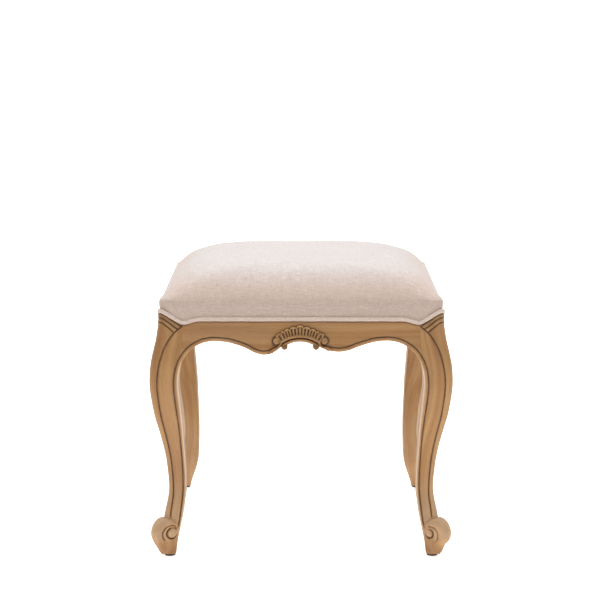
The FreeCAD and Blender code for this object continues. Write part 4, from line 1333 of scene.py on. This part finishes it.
def object_coords(sx, sy, sz, turn=None):
    def make(m):
        v = m.add("TexCoord", out="Object")
        if turn is not None:
            n = m.tree.nodes.new("ShaderNodeMapping")
            n.inputs["Rotation"].default_value = turn
            m.tree.links.new(v, n.inputs["Vector"])
            v = n.outputs[0]
        return m.scaled(v, sx, sy, sz)
    return make


def linen(name, pale, shade, side_painted_shade, pitch=0.00085, bias=0.0):
    """Plain-woven linen look with uneven yarns and slubs in both directions."""
    m = Nodes(name)
    w = m.attr("weave")
    if bias:
        n = m.tree.nodes.new("ShaderNodeVectorRotate")
        n.rotation_type = "Z_AXIS"
        n.inputs["Angle"].default_value = bias
        m.tree.links.new(w, n.inputs["Vector"])
        w = n.outputs[0]
    k = 1.0 / pitch
    sway = m.noise(w, 160.0, 2.0, 0.5)
    wv = m.add("VectorMath", props={"operation": "ADD"}, i0=w, i1=m.add(
        "CombineXYZ", X=m.math("MULTIPLY", m.math("SUBTRACT", sway, 0.5), pitch * 0.9),
        Y=m.math("MULTIPLY", m.math("SUBTRACT", m.noise(w, 120.0, 2.0, 0.5), 0.5), pitch * 0.9), Z=0.0))
    sep = m.tree.nodes.new("ShaderNodeSeparateXYZ")
    m.tree.links.new(wv, sep.inputs[0])
    sx = m.math("SINE", m.math("MULTIPLY", sep.outputs[0], k * math.pi))
    sy = m.math("SINE", m.math("MULTIPLY", sep.outputs[1], k * math.pi))
    over = m.math("MULTIPLY", sx, sy)                       # which yarn lies on top
    yarn = m.math("MAXIMUM", m.math("ABSOLUTE", sx), m.math("ABSOLUTE", sy))
    # yarns of uneven thickness and colour, and short slubs
    across = m.noise(m.scaled(w, 26.0, 900.0, 1.0), 1.0, 2.0, 0.6)
    along = m.noise(m.scaled(w, 900.0, 26.0, 1.0), 1.0, 2.0, 0.6)
    slub_a = m.ramp(m.noise(m.scaled(w, 95.0, 620.0, 1.0), 1.0, 1.0, 0.5), 0.57, 0.68)
    slub_b = m.ramp(m.noise(m.scaled(w, 620.0, 95.0, 1.0), 1.0, 1.0, 0.5), 0.61, 0.73)
    cloud = m.noise(w, 11.0, 2.0, 0.5)
    col = m.mix(m.ramp(across, 0.32, 0.70, 0.0, 0.75), pale, shade)
    col = m.mix(m.ramp(along, 0.34, 0.72, 0.0, 0.60), col, shade)
    light = (min(1.0, pale[0] * 1.10), min(1.0, pale[1] * 1.11), min(1.0, pale[2] * 1.12), 1.0)
    deep = (shade[0] * 0.76, shade[1] * 0.73, shade[2] * 0.70, 1.0)
    col = m.mix(m.math("MULTIPLY", slub_a, 0.85), col, light)
    col = m.mix(m.math("MULTIPLY", slub_b, 0.70), col, light)
    dark_a = m.ramp(m.noise(m.scaled(w, 80.0, 540.0, 7.0), 1.0, 1.0, 0.5), 0.62, 0.75)
    dark_b = m.ramp(m.noise(m.scaled(w, 540.0, 80.0, 3.0), 1.0, 1.0, 0.5), 0.62, 0.75)
    col = m.mix(m.math("MULTIPLY", m.math("MAXIMUM", dark_a, dark_b), 0.60), col, deep)
    col = m.mix(m.ramp(m.math("ABSOLUTE", over), 0.0, 0.30, 0.30, 0.0), col, deep)
    col = m.mix(m.ramp(cloud, 0.35, 0.70, 0.0, 0.16), col, shade)
    # painted shade: the side attribute darkens and warms the cover's sides and the piping's underside
    col = m.mix(m.attr("side", "Fac"), col, side_painted_shade, "MULTIPLY")
    h = m.math("ADD", m.math("MULTIPLY", yarn, 0.7), m.math("MULTIPLY", over, 0.3))
    h = m.math("ADD", h, m.math("MULTIPLY", m.math("MAXIMUM", slub_a, slub_b), 0.6))
    m.set(Base_Color=col, Roughness=m.ramp(across, 0.3, 0.7, 0.82, 0.92), Normal=m.bump(h, 0.00022, 0.5))
    m.bsdf.inputs["Specular IOR Level"].default_value = 0.12
    m.bsdf.inputs["Sheen Weight"].default_value = 0.4
    m.bsdf.inputs["Sheen Roughness"].default_value = 0.3
    return m.mat


def dust_cloth():
    m = Nodes("dust_cloth")
    w = m.attr("weave")
    fuzz = m.noise(w, 900.0, 3.0, 0.7)
    lay = m.noise(m.scaled(w, 40.0, 260.0, 1.0), 1.0, 3.0, 0.6)
    col = m.mix(m.ramp(fuzz, 0.3, 0.7), lin(30, 29, 29), lin(52, 50, 49))
    col = m.mix(m.ramp(lay, 0.45, 0.7, 0.0, 0.5), col, lin(64, 61, 59))
    m.set(Base_Color=col, Roughness=m.ramp(lay, 0.3, 0.7, 0.86, 0.95), Normal=m.bump(fuzz, 0.00015, 0.6))
    m.bsdf.inputs["Specular IOR Level"].default_value = 0.15
    return m.mat


def metal(name, a, b, rough):
    m = Nodes(name)
    v = m.add("TexCoord", out="Object")
    scuff = m.noise(v, 700.0, 3.0, 0.6)
    film = m.noise(v, 90.0, 2.0, 0.5)
    col = m.mix(m.ramp(film, 0.35, 0.7), a, b)
    m.set(Base_Color=col, Roughness=m.ramp(scuff, 0.3, 0.75, rough, rough + 0.22), Normal=m.bump(scuff, 0.00004, 0.4))
    m.bsdf.inputs["Metallic"].default_value = 1.0
    return m.mat


def glide_material():
    m = Nodes("glide")
    v = m.add("TexCoord", out="Object")
    speck = m.noise(v, 800.0, 3.0, 0.6)
    wear = m.noise(v, 120.0, 3.0, 0.6)
    col = m.mix(m.ramp(wear, 0.4, 0.7), lin(38, 31, 28), lin(66, 55, 48))
    m.set(Base_Color=col, Roughness=m.ramp(speck, 0.3, 0.7, 0.45, 0.7), Normal=m.bump(speck, 0.00006, 0.5))
    return m.mat


def plywood():
    m = Nodes("plywood")
    v = m.add("TexCoord", out="Object")
    sep = m.tree.nodes.new("ShaderNodeSeparateXYZ")
    m.tree.links.new(v, sep.inputs[0])
    ply = m.math("SINE", m.math("MULTIPLY", sep.outputs[2], 2 * math.pi / 0.0042))
    grain = m.noise(m.scaled(v, 7.0, 190.0, 900.0), 1.0, 3.0, 0.6)
    col = m.mix(m.ramp(ply, -0.25, 0.25), lin(190, 158, 118), lin(150, 112, 76))
    col = m.mix(m.ramp(grain, 0.4, 0.72, 0.0, 0.6), col, lin(168, 128, 88))
    m.set(Base_Color=col, Roughness=m.ramp(grain, 0.3, 0.7, 0.6, 0.75), Normal=m.bump(grain, 0.0001, 0.4))
    return m.mat


LIGHT_WOOD, DARK_WOOD, GLAZE_AND_PAINTED_SHADE = lin(197, 151, 100), lin(174, 125, 77), lin(80, 58, 42)
CARVED = wood("carved_wood", LIGHT_WOOD, DARK_WOOD, GLAZE_AND_PAINTED_SHADE)
PLAIN = wood("plain_wood", lin(196, 162, 120), lin(170, 132, 92), coords=object_coords(1, 1, 1, (0.0, 0.0, 0.7)))
LINEN = linen("linen", lin(221, 209, 203), lin(204, 189, 180), (0.985, 0.886, 0.820, 1.0))
PIPING = linen("linen_piping", lin(234, 215, 203), lin(219, 197, 182), (0.88, 0.86, 0.84, 1.0), pitch=0.0008, bias=math.pi / 4)
DUST, PLY = dust_cloth(), plywood()
STEEL = metal("screw_steel", lin(168, 166, 160), lin(120, 116, 110), 0.32)
STAPLE = metal("staple_steel", lin(176, 176, 174), lin(140, 139, 136), 0.28)
GLIDE = glide_material()


def dress(obj, mat):
    obj.data.materials.clear()
    obj.data.materials.append(mat)


for name, obj in pieces.items():
    dress(obj, {"linen_cover": LINEN, "piping": PIPING, "dust_cover": DUST}.get(name, CARVED))
for name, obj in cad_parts.items():
    mat = (PLAIN if "block" in name or "dowel" in name else PLY if name == "seat_board" else STAPLE if name == "cover_staples"
           else STEEL if "screw" in name else GLIDE if name == "foot_glides" else None)
    if mat is not None:
        for s in obj.material_slots:
            s.material = mat

# ------------------------------------------------------------------ stage, light and camera
def stage_floor():
    front, back, side, rise, r = -6.0, 5.0, 9.0, 6.0, 2.5
    prof = [(front, 0.0), (back - r, 0.0)]
    prof += [(back - r + r * math.sin(t), r - r * math.cos(t)) for t in np.linspace(0, math.pi / 2, 24)[1:]]
    prof += [(back, rise)]
    verts = [(x, y, z) for y, z in prof for x in (-side, side)]
    faces = [(2 * k, 2 * k + 1, 2 * k + 3, 2 * k + 2) for k in range(len(prof) - 1)]
    obj = make_object("floor", verts, faces)
    m = Nodes("floor_paper")
    grain = m.noise(m.add("TexCoord", out="Object"), 60.0, 2.0, 0.5)
    m.set(Base_Color=m.mix(grain, (0.93, 0.93, 0.93, 1), (0.95, 0.95, 0.95, 1)))
    m.bsdf.inputs["Roughness"].default_value = 0.9
    m.bsdf.inputs["Specular IOR Level"].default_value = 0.1
    m.bsdf.inputs["Emission Color"].default_value = (1.0, 1.0, 1.0, 1.0)
    m.bsdf.inputs["Emission Strength"].default_value = 0.72
    dress(obj, m.mat)
    return obj


stage_floor()


def area_light(name, loc, look, size, power, color=(1.0, 1.0, 1.0)):
    data = bpy.data.lights.new(name, "AREA")
    data.shape = "RECTANGLE"
    data.size, data.size_y = size
    data.energy = power
    data.color = color
    obj = bpy.data.objects.new(name, data)
    obj.location = loc
    obj.rotation_euler = (Vector(look) - Vector(loc)).to_track_quat("-Z", "Y").to_euler()
    bpy.context.scene.collection.objects.link(obj)


area_light("overhead", (0.0, -0.02, 2.7), (0.0, 0.0, 0.2), (2.5, 2.3), 68.0)
area_light("behind", (0.0, 1.35, 2.7), (0.0, 0.0, 0.45), (3.0, 1.2), 27.0, (0.45, 0.76, 1.0))
area_light("front_left", (-1.9, -3.0, 1.5), (0.0, 0.0, 0.3), (2.0, 2.2), 1.1)
area_light("front_right", (1.9, -3.0, 1.5), (0.0, 0.0, 0.3), (2.0, 2.2), 1.1)

world = bpy.data.worlds.new("studio")
world.use_nodes = True
world.node_tree.nodes["Background"].inputs["Color"].default_value = (1.0, 1.0, 1.0, 1.0)
world.node_tree.nodes["Background"].inputs["Strength"].default_value = 0.17
bpy.context.scene.world = world

cam = bpy.data.cameras.new("camera")
cam.sensor_width = 36.0
cam.lens = 97.56
eye = bpy.data.objects.new("camera", cam)
eye.location = (-0.0018, -2.764, 0.932)
eye.rotation_euler = (math.radians(90.0 - 11.0), 0.0, 0.0)
bpy.context.scene.collection.objects.link(eye)
bpy.context.scene.camera = eye
bpy.context.scene.view_settings.view_transform = "Standard"
